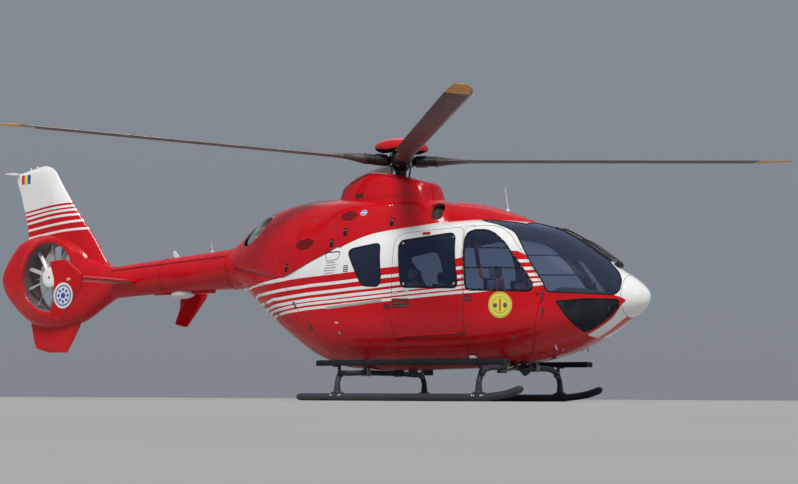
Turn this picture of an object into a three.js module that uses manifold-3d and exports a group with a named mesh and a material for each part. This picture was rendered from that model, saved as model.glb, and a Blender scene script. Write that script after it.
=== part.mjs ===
// Light twin engine helicopter, standing on its skids.
// Millimetres. X forward, Y to port, Z up, origin on the ground below the middle of the object.
// Stations below are measured from the rotor mast; the whole group is moved forward by MAST_X.
import * as THREE from 'three';
import { mergeVertices } from 'three/addons/utils/BufferGeometryUtils.js';
import Module from 'manifold-3d';

const wasm = await Module();
wasm.setup();

// Driving dimensions
const MAST_X = 1548.5;
const ROTOR_RADIUS = 5100;
const HUB_Z = 3040;
const MAST_TILT = 2.3;
const BLADE_CONE = 2.7;
const BLADE_AZIMUTH = 40.9;
const BLADE_CHORD = 289;
const MAST_LENGTH = 370;
const WALL = 35;
const DOOR_THICKNESS = 28;
const DOOR_GAP = 9;
const FIT = 0.3;
const GLASS_DEPTH = 5;
const GLASS_THICKNESS = 8;
const SKID_Y = 1000;
const SKID_RADIUS = 45;
const SKID_Z = 46.3;
const STEP_Y = 1035;
const FAN = { x: -6010, z: 1763, radius: 500, hub: 150, tip: 490 };

// Door hinges as a point on the axis, its direction, and the knuckle places along it
const CREW_HINGE = { at: [2414, -712, 1130], along: [0, 0, 1], places: [-75, 95] };
const CLAM_HINGE = { at: [-1022, -722, 1068], along: [-0.64, 0, 0.768], places: [-190, 190] };

// Fuselage sections: x station, bottom, top, half width, height of the widest point,
// exponent of the lower and of the upper half of the rounded outline
const HULL = [
  [-2600, 1490, 2055, 285, 1775, 2.0, 2.0],
  [-2400, 1430, 2060, 320, 1740, 2.0, 2.2],
  [-2000, 1160, 2080, 470, 1600, 2.2, 2.4],
  [-1500, 800, 2110, 650, 1430, 2.3, 2.7],
  [-1000, 520, 2150, 740, 1300, 2.5, 3.0],
  [-600, 410, 2180, 775, 1220, 2.7, 3.2],
  [0, 380, 2220, 780, 1180, 2.7, 3.3],
  [1200, 400, 2230, 780, 1150, 2.7, 3.1],
  [1850, 460, 2170, 770, 1130, 2.6, 2.8],
  [2250, 540, 2070, 730, 1120, 2.4, 2.5],
  [2600, 660, 1895, 640, 1120, 2.3, 2.3],
  [2900, 800, 1695, 490, 1150, 2.2, 2.1],
  [3100, 920, 1540, 350, 1180, 2.1, 2.0],
  [3260, 1010, 1440, 240, 1200, 2.0, 2.0],
  [3360, 1080, 1360, 150, 1210, 2.0, 2.0],
  [3420, 1140, 1300, 60, 1215, 2.0, 2.0],
];
const HULL_STATIONS = [
  -2600, -2300, -2000, -1650, -1300, -1000, -780, -550, 0, 1200, 1600, 1900, 2200, 2450, 2700, 2900, 3080,
  3230, 3340, 3420,
];
const HULL_SIDES = 20;

// Engine deck sections, same columns; the deck stands on the fuselage
const COWL = [
  [-2560, 1700, 2090, 275, 1780, 2.0, 2.0],
  [-2350, 1650, 2230, 360, 1760, 2.2, 2.2],
  [-2100, 1600, 2370, 465, 1740, 2.2, 2.4],
  [-1800, 1500, 2495, 575, 1700, 2.2, 2.5],
  [-1450, 1450, 2565, 672, 1600, 2.2, 2.6],
  [-1100, 1450, 2600, 720, 1600, 2.2, 2.6],
  [-700, 1500, 2595, 722, 1650, 2.2, 2.7],
  [-400, 1550, 2585, 675, 1700, 2.2, 2.8],
  [0, 1600, 2570, 600, 1700, 2.2, 2.8],
  [430, 1650, 2545, 535, 1750, 2.2, 2.8],
  [700, 1650, 2490, 490, 1750, 2.2, 2.7],
  [830, 1650, 2420, 455, 1750, 2.2, 2.6],
  [930, 1650, 2330, 410, 1750, 2.2, 2.5],
];
// Lower edge of the cowls as x, z points, closed far below
const COWL_EDGE = [
  [-2700, 1800], [-2560, 1790], [-2100, 1700], [-1700, 1600], [-1394, 1556], [-1088, 1672], [-693, 1839],
  [-405, 1985], [19, 2115], [430, 2180], [1100, 2185], [1100, 1000], [-2700, 1000],
];
const ROOF_FAIRING = [
  [945, 1700, 2470, 430, 2000, 2.0, 2.2],
  [1272, 1700, 2405, 390, 2000, 2.0, 2.2],
  [1641, 1700, 2290, 330, 2000, 2.0, 2.1],
  [1860, 1700, 2205, 250, 1980, 2.0, 2.0],
  [1990, 1700, 2140, 150, 1950, 2.0, 2.0],
];
const MAST_FAIRING = [
  [-870, 2300, 2640, 140, 2310, 2.0, 2.6],
  [-810, 2300, 2790, 250, 2310, 2.0, 2.6],
  [-700, 2300, 2875, 310, 2310, 2.0, 2.4],
  [-560, 2300, 2930, 345, 2310, 2.0, 2.3],
  [-420, 2300, 2954, 360, 2310, 2.0, 2.3],
  [-156, 2300, 2905, 370, 2310, 2.0, 2.3],
  [200, 2300, 2810, 365, 2310, 2.0, 2.5],
  [400, 2300, 2735, 335, 2310, 2.0, 2.7],
  [500, 2300, 2660, 280, 2310, 2.0, 2.7],
  [560, 2300, 2540, 180, 2310, 2.0, 2.7],
];
const BOOM = [
  [-4850, 1425, 1880, 166, 1660, 2.2, 2.2],
  [-4500, 1445, 1908, 180, 1685, 2.1, 2.1],
  [-3920, 1470, 1955, 205, 1720, 2.0, 2.0],
  [-3100, 1490, 2015, 250, 1755, 2.0, 2.0],
  [-2600.5, 1490, 2055, 285, 1775, 2.0, 2.0],
];
const FLARE = [
  [-5560, 1080, 2150, 188, 1740, 2.6, 2.6],
  [-5400, 1130, 2070, 186, 1720, 2.6, 2.6],
  [-5150, 1260, 1985, 178, 1700, 2.4, 2.4],
  [-4850.5, 1425, 1880, 166, 1660, 2.2, 2.2],
];

// Side outlines of doors and glass as x, z points
const OUTLINE = {
  slidingDoor: [
    [365, 516], [1378, 516], [1378, 1300], [1330, 1860], [1290, 2060], [1200, 2098], [480, 2062],
    [400, 2030], [352, 1960], [365, 1650],
  ],
  crewDoor: [
    [1390, 520], [2130, 560], [2262, 747], [2400, 1215], [2408, 1290], [2385, 1372], [2150, 1715],
    [1930, 1960], [1800, 2050], [1640, 2105], [1300, 2100], [1303, 2060], [1342, 1860], [1390, 1300],
  ],
  slidingWindow: [
    [430, 1898], [447, 1945], [470, 1958], [1090, 2020], [1140, 2018], [1196, 1967], [1293, 1420], [1285, 1370],
    [1250, 1357], [555, 1385], [515, 1400], [500, 1446],
  ],
  crewWindow: [
    [1345, 1955], [1362, 2022], [1430, 2050], [1588, 2044], [1710, 1992], [1873, 1872], [2042, 1683],
    [2211, 1472], [2277, 1372], [2280, 1320], [2248, 1291], [1475, 1325], [1425, 1345], [1412, 1400],
  ],
  quarterWindow: [
    [-308, 1833], [-300, 1868], [-262, 1890], [70, 1937], [120, 1930], [144, 1887], [199, 1522], [190, 1440],
    [150, 1408], [-20, 1415], [-80, 1440], [-124, 1510],
  ],
  windscreen: [
    [1400, 2188], [1700, 2108], [1935, 2010], [2170, 1725], [2410, 1385], [2452, 1275], [2770, 1257],
    [3140, 1238], [3188, 1290], [3188, 1600], [3000, 1950], [1990, 2600], [1400, 2600],
  ],
  chinWindow: [
    [2560, 1160], [2868, 1190], [3186, 1180], [3172, 1090], [3045, 966], [2886, 863], [2800, 822],
  ],
  clamshell: [
    [-500, 200], [-600, 520], [-880, 900], [-1165, 1236], [-1270, 1420], [-1480, 1500], [-2585, 1500],
    [-2700, 1300], [-2700, 200],
  ],
};
const END_PLATE = [
  [-4844, 1873], [-4555, 1893], [-4247, 1681], [-4262, 1494], [-4634, 1060], [-4853, 1112],
  [-4752, 1346], [-4753, 1623],
];
const SHROUD_EDGE = [
  [-7070, 1740], [-7055, 1850], [-6960, 2020], [-6830, 2180], [-6660, 2320], [-6300, 2400], [-5987, 2400],
  [-5600, 2300], [-5340, 2120], [-5230, 1900], [-5230, 1640], [-5290, 1350], [-5460, 1140],
  [-5740, 1040], [-6120, 1020], [-6400, 1080], [-6640, 1210], [-6860, 1400], [-7000, 1560],
];

// Looks
const paint = (color, roughness = 0.25, metalness = 0) =>
  new THREE.MeshStandardMaterial({ color, roughness, metalness });
const RED = paint(0xb5121b);
const WHITE = paint(0xf0f0ee);
const GREY = paint(0x5d6167, 0.5);
const DARK = paint(0x17181a, 0.6);
const BLADE = paint(0x3b3431, 0.55);
const LIGHT = paint(0xc9ccce, 0.4);
const METAL = paint(0xb9b4ab, 0.25, 1);
const CLOTH = paint(0x6d7176, 0.9);
const GLASS = paint(0x232b33, 0.06);

// Solids
function toSolid(geometry) {
  const bare = new THREE.BufferGeometry().setAttribute('position', geometry.getAttribute('position'));
  if (geometry.index) bare.setIndex(geometry.index);
  const merged = mergeVertices(bare, 1e-3);
  return new wasm.Manifold(new wasm.Mesh({
    numProp: 3,
    vertProperties: merged.attributes.position.array,
    triVerts: new Uint32Array(merged.index.array),
  }));
}
function toGeometry(solid) {
  const mesh = solid.getMesh();
  const points = new Float32Array(mesh.numVert * 3);
  for (let i = 0; i < mesh.numVert; i++) {
    for (let k = 0; k < 3; k++) points[3 * i + k] = mesh.vertProperties[mesh.numProp * i + k];
  }
  const geometry = new THREE.BufferGeometry();
  geometry.setAttribute('position', new THREE.BufferAttribute(points, 3));
  geometry.setIndex(new THREE.BufferAttribute(new Uint32Array(mesh.triVerts), 1));
  geometry.computeVertexNormals();
  return geometry;
}
const union = (...solids) => solids.reduce((a, b) => a.add(b));
const mirror = (solid) => {
  const geometry = toGeometry(solid).toNonIndexed();
  const p = geometry.getAttribute('position');
  for (let i = 0; i < p.count; i += 3) {
    const a = [p.getX(i + 1), p.getY(i + 1), p.getZ(i + 1)];
    p.setXYZ(i + 1, p.getX(i + 2), p.getY(i + 2), p.getZ(i + 2));
    p.setXYZ(i + 2, ...a);
  }
  for (let i = 0; i < p.count; i++) p.setY(i, -p.getY(i));
  return toSolid(geometry);
};
function box(x0, x1, y0, y1, z0, z1) {
  const g = new THREE.BoxGeometry(x1 - x0, y1 - y0, z1 - z0);
  g.translate((x0 + x1) / 2, (y0 + y1) / 2, (z0 + z1) / 2);
  return toSolid(g);
}
// Smooth curve through one column of a section table
function column(table, k) {
  const n = table.length;
  const x = table.map((r) => r[0]);
  const v = table.map((r) => r[k]);
  const d = [];
  for (let i = 0; i < n - 1; i++) d.push((v[i + 1] - v[i]) / (x[i + 1] - x[i]));
  const m = v.map((_, i) => {
    if (i === 0) return d[0];
    if (i === n - 1) return d[n - 2];
    return d[i - 1] * d[i] <= 0 ? 0 : (2 * d[i - 1] * d[i]) / (d[i - 1] + d[i]);
  });
  return (s) => {
    let i = 0;
    while (i < n - 2 && s > x[i + 1]) i++;
    const h = x[i + 1] - x[i];
    const t = Math.min(Math.max((s - x[i]) / h, 0), 1);
    return (2 * t ** 3 - 3 * t ** 2 + 1) * v[i] + (t ** 3 - 2 * t ** 2 + t) * h * m[i]
      + (3 * t ** 2 - 2 * t ** 3) * v[i + 1] + (t ** 3 - t ** 2) * h * m[i + 1];
  };
}
// Closed body through rounded sections across X, set in from the outline by inset
function sections(table, stations, inset = 0, count = HULL_SIDES, ends = inset) {
  const c = [1, 2, 3, 4, 5, 6].map((k) => column(table, k));
  const first = stations[0] + ends;
  const last = stations[stations.length - 1] - ends;
  const rows = [first, ...stations.filter((s) => s > first + 5 && s < last - 5), last];
  const rings = rows.map((s) => {
    const [bottom, top, half, mid, low, high] = c.map((f) => f(s));
    return Array.from({ length: count }, (_, j) => {
      const a = (2 * Math.PI * j) / count;
      const up = Math.sin(a) >= 0;
      const e = 2 / (up ? high : low);
      const y = Math.max(half - inset, 2) * Math.sign(Math.cos(a)) * Math.abs(Math.cos(a)) ** e;
      const reach = Math.max((up ? top - mid : mid - bottom) - inset, 2);
      return [s, y, mid + reach * Math.sign(Math.sin(a)) * Math.abs(Math.sin(a)) ** e];
    });
  });
  return stack(rings, (j) => Math.cos((2 * Math.PI * (j + 0.5)) / count) > 0);
}
// Closed body through a row of rings, each ring turning the same way; turned picks the faces
// that are split along the other diagonal, so that both sides of a hull match
function stack(rings, turned = () => false) {
  const n = rings[0].length;
  const points = rings.flat(2);
  const faces = [];
  const last = (rings.length - 1) * n;
  for (let i = 0; i < rings.length - 1; i++) {
    for (let j = 0; j < n; j++) {
      const a = i * n + j;
      const b = i * n + ((j + 1) % n);
      faces.push(...(turned(j) ? [a, b, a + n, b, b + n, a + n] : [a, b, b + n, a, b + n, a + n]));
    }
  }
  for (const [start, flip] of [[0, true], [last, false]]) {
    const middle = points.length / 3;
    for (let k = 0; k < 3; k++) {
      let sum = 0;
      for (let j = 0; j < n; j++) sum += points[3 * (start + j) + k];
      points.push(sum / n);
    }
    for (let j = 0; j < n; j++) {
      const a = start + j;
      const b = start + ((j + 1) % n);
      faces.push(...(flip ? [middle, b, a] : [middle, a, b]));
    }
  }
  const geometry = new THREE.BufferGeometry();
  geometry.setAttribute('position', new THREE.BufferAttribute(new Float32Array(points), 3));
  geometry.setIndex(faces);
  const solid = toSolid(geometry);
  return solid.volume() > 0 ? solid : toSolid(flipped(geometry));
}
function flipped(geometry) {
  const index = [];
  for (let i = 0; i < geometry.index.count; i += 3) {
    index.push(geometry.index.getX(i), geometry.index.getX(i + 2), geometry.index.getX(i + 1));
  }
  return geometry.setIndex(index);
}
// Outline of x, z points pushed outwards by grow and extruded between y0 and y1
function grown(points, grow) {
  const n = points.length;
  let area = 0;
  points.forEach(([x, z], i) => {
    const [u, w] = points[(i + 1) % n];
    area += x * w - u * z;
  });
  const side = Math.sign(area);
  return points.map((p, i) => {
    const a = points[(i + n - 1) % n];
    const b = points[(i + 1) % n];
    const u = new THREE.Vector2(p[0] - a[0], p[1] - a[1]).normalize();
    const v = new THREE.Vector2(b[0] - p[0], b[1] - p[1]).normalize();
    const nx = side * (u.y + v.y);
    const nz = -side * (u.x + v.x);
    const k = (2 * grow) / Math.max(nx * nx + nz * nz, 0.4);
    return [p[0] + nx * k, p[1] + nz * k];
  });
}
function prism(points, y0, y1, grow = 0) {
  const shape = new THREE.Shape(grown(points, grow).map(([x, z]) => new THREE.Vector2(x, z)));
  const g = new THREE.ExtrudeGeometry(shape, { depth: y1 - y0, bevelEnabled: false });
  g.rotateX(Math.PI / 2);
  g.translate(0, y1, 0);
  return toSolid(g);
}
function tube(points, radius, segments = 16, sides = 5) {
  const path = new THREE.CatmullRomCurve3(points.map((p) => new THREE.Vector3(...p)), false, 'centripetal');
  const circle = new THREE.Shape().absarc(0, 0, radius, 0, 2 * Math.PI);
  return toSolid(new THREE.ExtrudeGeometry(circle, {
    steps: segments, extrudePath: path, curveSegments: sides, bevelEnabled: false,
  }));
}
function cylinder(from, to, r0, r1 = r0, sides = 24) {
  const a = new THREE.Vector3(...from);
  const b = new THREE.Vector3(...to);
  const g = new THREE.CylinderGeometry(r1, r0, a.distanceTo(b), sides);
  const q = new THREE.Quaternion().setFromUnitVectors(
    new THREE.Vector3(0, 1, 0), b.clone().sub(a).normalize());
  g.applyQuaternion(q);
  g.translate((a.x + b.x) / 2, (a.y + b.y) / 2, (a.z + b.z) / 2);
  return toSolid(g);
}

const at = ({ at: p, along }, t) => p.map((v, k) => v + along[k] * t);
// Knuckles of one hinge: the door holds the middle third of each, the frame the two ends
function knuckles(hinge, reach, ofDoor, region, proud) {
  const parts = hinge.places.flatMap((t) => (ofDoor ? [[-15, 15]] : [[-45, -15.5], [15.5, 45]])
    .flatMap(([a, b]) => {
      const pin = cylinder(at(hinge, t + a), at(hinge, t + b), 9, 9, 8);
      return [pin, leaf(hinge, t + a, t + b, reach, ofDoor)];
    }));
  const all = union(...parts);
  return ofDoor ? all.subtract(proud).add(all.intersect(region)) : all;
}
// Leaf of a hinge between two places on its axis, square to the axis
function leaf(hinge, a, b, [run, depth], ofDoor) {
  const g = new THREE.BoxGeometry(run, depth + 4, b - a);
  g.translate(((ofDoor ? -1 : 1) * run) / 2, (depth - 4) / 2, 0);
  g.applyQuaternion(new THREE.Quaternion().setFromUnitVectors(
    new THREE.Vector3(0, 0, 1), new THREE.Vector3(...hinge.along).normalize()));
  g.translate(...at(hinge, (a + b) / 2));
  return toSolid(g);
}

const body = new THREE.Group();
const group = new THREE.Group();
group.add(body);
body.position.x = MAST_X;
function add(name, solid, material, parent = body) {
  const mesh = new THREE.Mesh(toGeometry(solid), material);
  mesh.name = name;
  parent.add(mesh);
}
const SIDES = [['right', (s) => s], ['left', mirror]];

// Fuselage shell, doors and glass
const hullOuter = sections(HULL, HULL_STATIONS);
const hullInner = sections(HULL, HULL_STATIONS, WALL);
const hullClear = sections(HULL, HULL_STATIONS, -FIT, HULL_SIDES, 0);
const skin = (depth, thickness) => sections(HULL, HULL_STATIONS, depth)
  .subtract(sections(HULL, HULL_STATIONS, depth + thickness));
const right = (outline, grow, y1 = -150) => prism(outline, -1200, y1, grow);
const half = box(-9000, 9000, -2000, -22, 0, 4000);
const windscreenCut = (grow) => union(
  right(OUTLINE.windscreen, grow, -22 + grow).intersect(box(1985 - grow, 3200 + grow, -2000, 0, 0, 4000)),
  right(OUTLINE.windscreen, grow, -300 + grow).intersect(box(1300, 2000, -2000, 0, 0, 4000)),
);
const chinCut = (grow) => right(OUTLINE.chinWindow, grow, -60 + grow);
const cutters = [
  right(OUTLINE.slidingDoor, FIT), right(OUTLINE.crewDoor, DOOR_GAP / 2),
  right(OUTLINE.quarterWindow, 0), windscreenCut(0), chinCut(0),
];
const aft = prism(OUTLINE.clamshell, -1200, 1200, DOOR_GAP / 2);
const noseCut = box(3200, 3500, -1000, 1000, 0, 3000);
const hoop = sections(HULL, HULL_STATIONS, WALL - 0.5).subtract(sections(HULL, HULL_STATIONS, 78))
  .intersect(box(1335, 1425, -1000, 1000, 0, 3000));
let shell = hullOuter.subtract(hullInner).subtract(aft).subtract(noseCut);
for (const cutter of cutters) shell = shell.subtract(cutter).subtract(mirror(cutter));
const lugs = union(knuckles(CREW_HINGE, [45, 50], false), knuckles(CLAM_HINGE, [45, 50], false))
  .subtract(hullInner);
add('cabin_shell', union(shell, hoop, lugs, mirror(lugs)), RED);
add('nose_dome', hullOuter.intersect(box(3200 + FIT, 3500, -1000, 1000, 0, 3000)), WHITE);

const doorSkin = hullOuter.subtract(sections(HULL, HULL_STATIONS, DOOR_THICKNESS));
const glassSkin = skin(GLASS_DEPTH, GLASS_THICKNESS);
const inside = sections(HULL, HULL_STATIONS, DOOR_THICKNESS);
const proud = sections(HULL, HULL_STATIONS, -3, HULL_SIDES, 0);
for (const [side, place] of SIDES) {
  const slidingHole = right(OUTLINE.slidingWindow, 0);
  const crewHole = right(OUTLINE.crewWindow, 0);
  add(`sliding_door_${side}`, place(
    doorSkin.intersect(right(OUTLINE.slidingDoor, 0)).subtract(slidingHole)), RED);
  add(`crew_door_${side}`, place(
    doorSkin.intersect(right(OUTLINE.crewDoor, -DOOR_GAP / 2)).subtract(crewHole)
      .add(knuckles(CREW_HINGE, [75, 40], true, right(OUTLINE.crewDoor, -DOOR_GAP / 2), proud).subtract(inside))), RED);
  add(`sliding_window_${side}`, place(glassSkin.intersect(right(OUTLINE.slidingWindow, -FIT))), GLASS);
  add(`crew_window_${side}`, place(glassSkin.intersect(right(OUTLINE.crewWindow, -FIT))), GLASS);
  add(`quarter_window_${side}`, place(glassSkin.intersect(right(OUTLINE.quarterWindow, -FIT))), GLASS);
  add(`windscreen_${side}`, place(glassSkin.intersect(windscreenCut(-FIT))), GLASS);
  add(`chin_window_${side}`, place(glassSkin.intersect(chinCut(-FIT))), GLASS);
  const clam = prism(OUTLINE.clamshell, -1200, -DOOR_GAP / 2, -DOOR_GAP / 2);
  add(`clamshell_door_${side}`, place(doorSkin.intersect(clam)
    .add(knuckles(CLAM_HINGE, [45, 40], true, clam, proud).subtract(inside))), RED);
}

// Engine deck: cowls, mast fairing, roof fairing
const COWL_STATIONS = [-2560, -2350, -2100, -1800, -1450, -1100, -700, -400, 0, 430, 700, 830, 930];
const cowlOuter = sections(COWL, COWL_STATIONS);
const cowlClear = sections(COWL, COWL_STATIONS, -FIT, HULL_SIDES, 0);
const cowlInner = sections(COWL, COWL_STATIONS, 20);
const cowlShell = cowlOuter.subtract(cowlInner).subtract(hullClear)
  .subtract(prism(COWL_EDGE, -1000, 1000));
const FAIRING_STATIONS = [-870, -810, -700, -560, -420, -156, 200, 400, 500, 560];
const fairing = sections(MAST_FAIRING, FAIRING_STATIONS).subtract(cowlClear)
  .subtract(sections(MAST_FAIRING, FAIRING_STATIONS, 18));
const tiltAngle = THREE.MathUtils.degToRad(MAST_TILT);
const onMast = (t) => [t * Math.sin(tiltAngle), 0, HUB_Z + t * Math.cos(tiltAngle)];
const mastWell = cylinder(onMast(-900), onMast(200), 190);
add('mast_fairing', fairing.subtract(mastWell), RED);
const deckOpening = sections(MAST_FAIRING, FAIRING_STATIONS, 40).intersect(box(-3000, 3000, -1000, 1000, 2200, 3000));
const cowlOpen = cowlShell.subtract(deckOpening);
add('transmission_cowl', cowlOpen.intersect(box(-640 + FIT / 2, 2000, -1000, 1000, 1000, 3000)), RED);
const exhaustTube = (radius, more = 0) => {
  const along = (t) => [-1450 - 700 * t, -180 - 220 * t, 2330 - 130 * t];
  return cylinder(along(-more), along(1 + more), radius - 10, radius);
};
const exhaustHole = exhaustTube(150 + 6, 0.1);
const engineCowl = cowlOpen.intersect(box(-2600, -640 - FIT / 2, -1000, -FIT / 2, 1000, 3000))
  .subtract(exhaustHole);
for (const [side, place] of SIDES) {
  add(`engine_cowl_${side}`, place(engineCowl), RED);
  const pipe = exhaustTube(150, 0.25).subtract(exhaustTube(140, 0.3)).intersect(box(-2150, 0, -700, 0, 1500, 3000));
  add(`exhaust_${side}`, place(pipe.subtract(hullClear).subtract(box(-1300.4, -600, -400, 0, 2000, 2405))),
    METAL);
  add(`engine_${side}`, place(box(-1300, -650, -370, -110, 2100, 2400).subtract(hullClear)), METAL);
}
add('roof_fairing', sections(ROOF_FAIRING, [945, 1272, 1641, 1860, 1990])
  .subtract(hullClear).subtract(cowlClear), RED);
add('main_gearbox', box(-330, 330, -240, 240, 2180, 2440).subtract(hullClear)
  .add(cylinder(onMast(-640), onMast(-MAST_LENGTH - 0.5), 210, 150, 20)), METAL);

// Tail
const BOOM_STATIONS = [-4850, -4300, -3500, -3000, -2600.5];
const ring = (points, y, scale) => points.map(([x, z]) => [
  FAN.x + (x - FAN.x) * scale, y, FAN.z + (z - FAN.z) * scale]);
const circleLike = (points, y, radius) => points.map(([x, z]) => {
  const a = Math.atan2(z - FAN.z, x - FAN.x);
  return [FAN.x + radius * Math.cos(a), y, FAN.z + radius * Math.sin(a)];
});
const SHROUD_LAYERS = [[-190, 535, 0], [-170, 585, 0], [-110, 0, 0.91], [-30, 0, 1],
  [30, 0, 1], [110, 0, 0.91], [170, 585, 0], [190, 535, 0]];
const DUCT_SIDES = 36;
const ductCylinder = (radius, y0 = -400, y1 = 400) => cylinder(
  [FAN.x, y0, FAN.z], [FAN.x, y1, FAN.z], radius, radius, DUCT_SIDES);
const duct = ductCylinder(FAN.radius);
const flare = (inset, ends) => sections(FLARE, [-5560, -5400, -5150, -4850.5], inset, 24, ends);
const shroudBody = stack(SHROUD_LAYERS.map(([y, radius, scale]) => (
  radius ? circleLike(SHROUD_EDGE, y, radius) : ring(SHROUD_EDGE, y, scale)))).add(flare(0, 0));
const boom = sections(BOOM, BOOM_STATIONS, 0, 24);
add('tail_boom', boom.subtract(sections(BOOM, BOOM_STATIONS, 12, 24, 0)
  .intersect(box(-4830, -2000, -500, 500, 0, 3000))), RED);
const boomClear = sections(BOOM, BOOM_STATIONS, -FIT, 24, 0);
const ductWall = ductCylinder(FAN.radius + 14);
const shroudHollow = stack(SHROUD_LAYERS.map(([y, radius, scale]) => (
  radius ? circleLike(SHROUD_EDGE, y * 0.92, radius - 10) : ring(SHROUD_EDGE, y * 0.92, scale * 0.98))))
  .add(flare(14, 0)).subtract(ductWall);

const finSection = (xFront, xRear, z, thick) => {
  const chord = xFront - xRear;
  const up = [0, 0.04, 0.15, 0.35, 0.7, 1].map((t) => [xFront - chord * t,
    thick * (t === 0 ? 0 : t === 1 ? 0.08 : Math.sin(Math.PI * t ** 0.6))]);
  const out = up.map(([x, h]) => [x, h / 2, z]);
  const back = up.slice(1).reverse().map(([x, h]) => [x, -h / 2, z]);
  return [...out, ...back];
};
const finRows = [
  [-4990, -6560, 1960, 190], [-5250, -6570, 2330, 160], [-5680, -6660, 2860, 135],
  [-5960, -6850, 3220, 115], [-6060, -6830, 3320, 90], [-6230, -6650, 3400, 40],
];
const fin = stack(finRows.map((row) => finSection(...row)));
const finHollow = stack(finRows.slice(0, 4).map(([front, rear, z, thick], i) => (
  finSection(front - 60, rear + 160, i ? z - 20 : z - 200, thick - 26))));
const shroudClear = stack(SHROUD_LAYERS.map(([y, radius, scale]) => (
  radius ? circleLike(SHROUD_EDGE, y * 1.002, radius + FIT)
    : ring(SHROUD_EDGE, y * 1.002, scale * 1.0008)))).add(flare(-FIT, 0));
add('tail_fin', fin.subtract(finHollow).subtract(shroudClear).subtract(boomClear).subtract(duct), RED);
const bumper = stack([
  finSection(-5440, -6520, 1200, 90), finSection(-5550, -6470, 1000, 80), finSection(-5710, -6390, 750, 60),
  finSection(-5770, -6120, 672, 40),
]);
add('tail_shroud', shroudBody.add(bumper).subtract(duct).subtract(shroudHollow).subtract(boomClear), RED);
const vane = (k, count, y, width, r0, r1, twist) => {
  const g = new THREE.BoxGeometry(width, 12, r1 - r0);
  g.rotateZ(twist);
  g.translate(0, 0, (r0 + r1) / 2);
  g.rotateY((2 * Math.PI * k) / count);
  g.translate(FAN.x, y, FAN.z);
  return toSolid(g);
};
const spoke = (count, y, width, r1, twist) => Array.from({ length: count },
  (_, k) => vane(k, count, y, width, FAN.hub - 30, r1, twist));
add('fan_stator', union(
  cylinder([FAN.x, 20, FAN.z], [FAN.x, 170, FAN.z], FAN.hub, FAN.hub - 30),
  cylinder([FAN.x, 10.5, FAN.z], [FAN.x, 30, FAN.z], 45, 45, 12),
  ...spoke(11, 80, 60, FAN.radius - 2.6, 1.2)), LIGHT);
add('fan_rotor', union(
  cylinder([FAN.x, -150, FAN.z], [FAN.x, 10, FAN.z], FAN.hub - 20, FAN.hub),
  ...spoke(10, -75, 62, FAN.tip, 0.9)), LIGHT);

const plane = (y0, y1) => stack([[y0, 1], [y1, 0.92]].map(([y, s]) => (
  [[-4290, 0], [-4330, 30], [-4480, 36], [-4740, 6], [-4740, -6], [-4480, -22], [-4330, -20]]
    .map(([x, h]) => [x, y, 1640 + h * s]))));
for (const [side, place] of SIDES) {
  add(`stabiliser_${side}`, place(plane(-140, -1325).subtract(boomClear)
    .add(prism(END_PLATE, -1350, -1312))), RED);
}

// Landing gear: skids, steps and the two bowed cross tubes with their saddles under the belly
const FOOT_TOP = 130;
const bow = (x, top, radius) => tube([
  [x, -SKID_Y, 100], [x, -SKID_Y, 180], [x, -985, 250], [x, -920, 335], [x, -760, top - 12], [x, -400, top],
  [x, 0, top], [x, 400, top], [x, 760, top - 12], [x, 920, 335], [x, 985, 250], [x, SKID_Y, 180],
  [x, SKID_Y, 100]], radius, 22, 4);
const CROSS_TUBES = [['front', 1730, 405], ['rear', -280, 350]];
const bows = union(...CROSS_TUBES.map(([, x, top]) => bow(x, top, 34 + 0.4)));
for (const [side, place] of SIDES) {
  const skid = tube([[-870, 0], [-200, 0], [700, 0], [1600, 0], [1850, 7], [2100, 41], [2290, 100]]
    .map(([x, rise]) => [x, -SKID_Y, SKID_Z + rise]), SKID_RADIUS);
  const feet = CROSS_TUBES.map(([, x]) => box(x - 90, x + 90, -SKID_Y - 40, -SKID_Y + 40, 60, FOOT_TOP));
  add(`skid_${side}`, place(union(skid, ...feet)), GREY);
  const brackets = CROSS_TUBES.map(([, x]) => box(x - 15, x + 15, -975, -935, 310, 430));
  add(`step_${side}`, place(union(box(-540, 2140, -STEP_Y - 65, -STEP_Y + 65, 425, 495), ...brackets)
    .subtract(bows)), DARK);
}
for (const [name, x, top] of CROSS_TUBES) {
  const saddle = box(x - 45, x + 45, -400, -320, top - 20, top + 150).subtract(hullClear);
  const legs = bow(x, top, 34).intersect(box(x - 200, x + 200, -1100, 1100, FOOT_TOP + FIT, 1000));
  add(`cross_tube_${name}`, union(legs, saddle, mirror(saddle)).subtract(hullClear), GREY);
}

// Cabin fittings
const liner = sections(HULL, HULL_STATIONS, WALL + 0.5);
const hoopClear = sections(HULL, HULL_STATIONS, WALL - 2).subtract(sections(HULL, HULL_STATIONS, 80))
  .intersect(box(1332, 1428, -1000, 1000, 0, 3000));
add('cabin_floor', liner.intersect(box(-700, 2300, -650, 650, 545, 575)).subtract(hoopClear), DARK);
const seat = (x, y) => union(
  box(x - 250, x + 200, y - 195, y + 195, 740, 860),
  box(x - 330, x - 210, y - 195, y + 195, 750, 1480),
  box(x - 325, x - 225, y - 120, y + 120, 1470, 1640),
  box(x - 200, x + 60, y - 60, y + 60, 575 + FIT, 740));
for (const [side, place] of SIDES) {
  add(`crew_seat_${side}`, place(seat(1840, -325)), CLOTH);
  add(`cabin_seat_${side}`, place(seat(700, -340)), CLOTH);
}
add('instrument_panel', liner.intersect(union(
  box(2480, 2720, -330, 330, 900, 1330), box(2480, 2620, -130, 130, 400, 910))), DARK);

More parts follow.
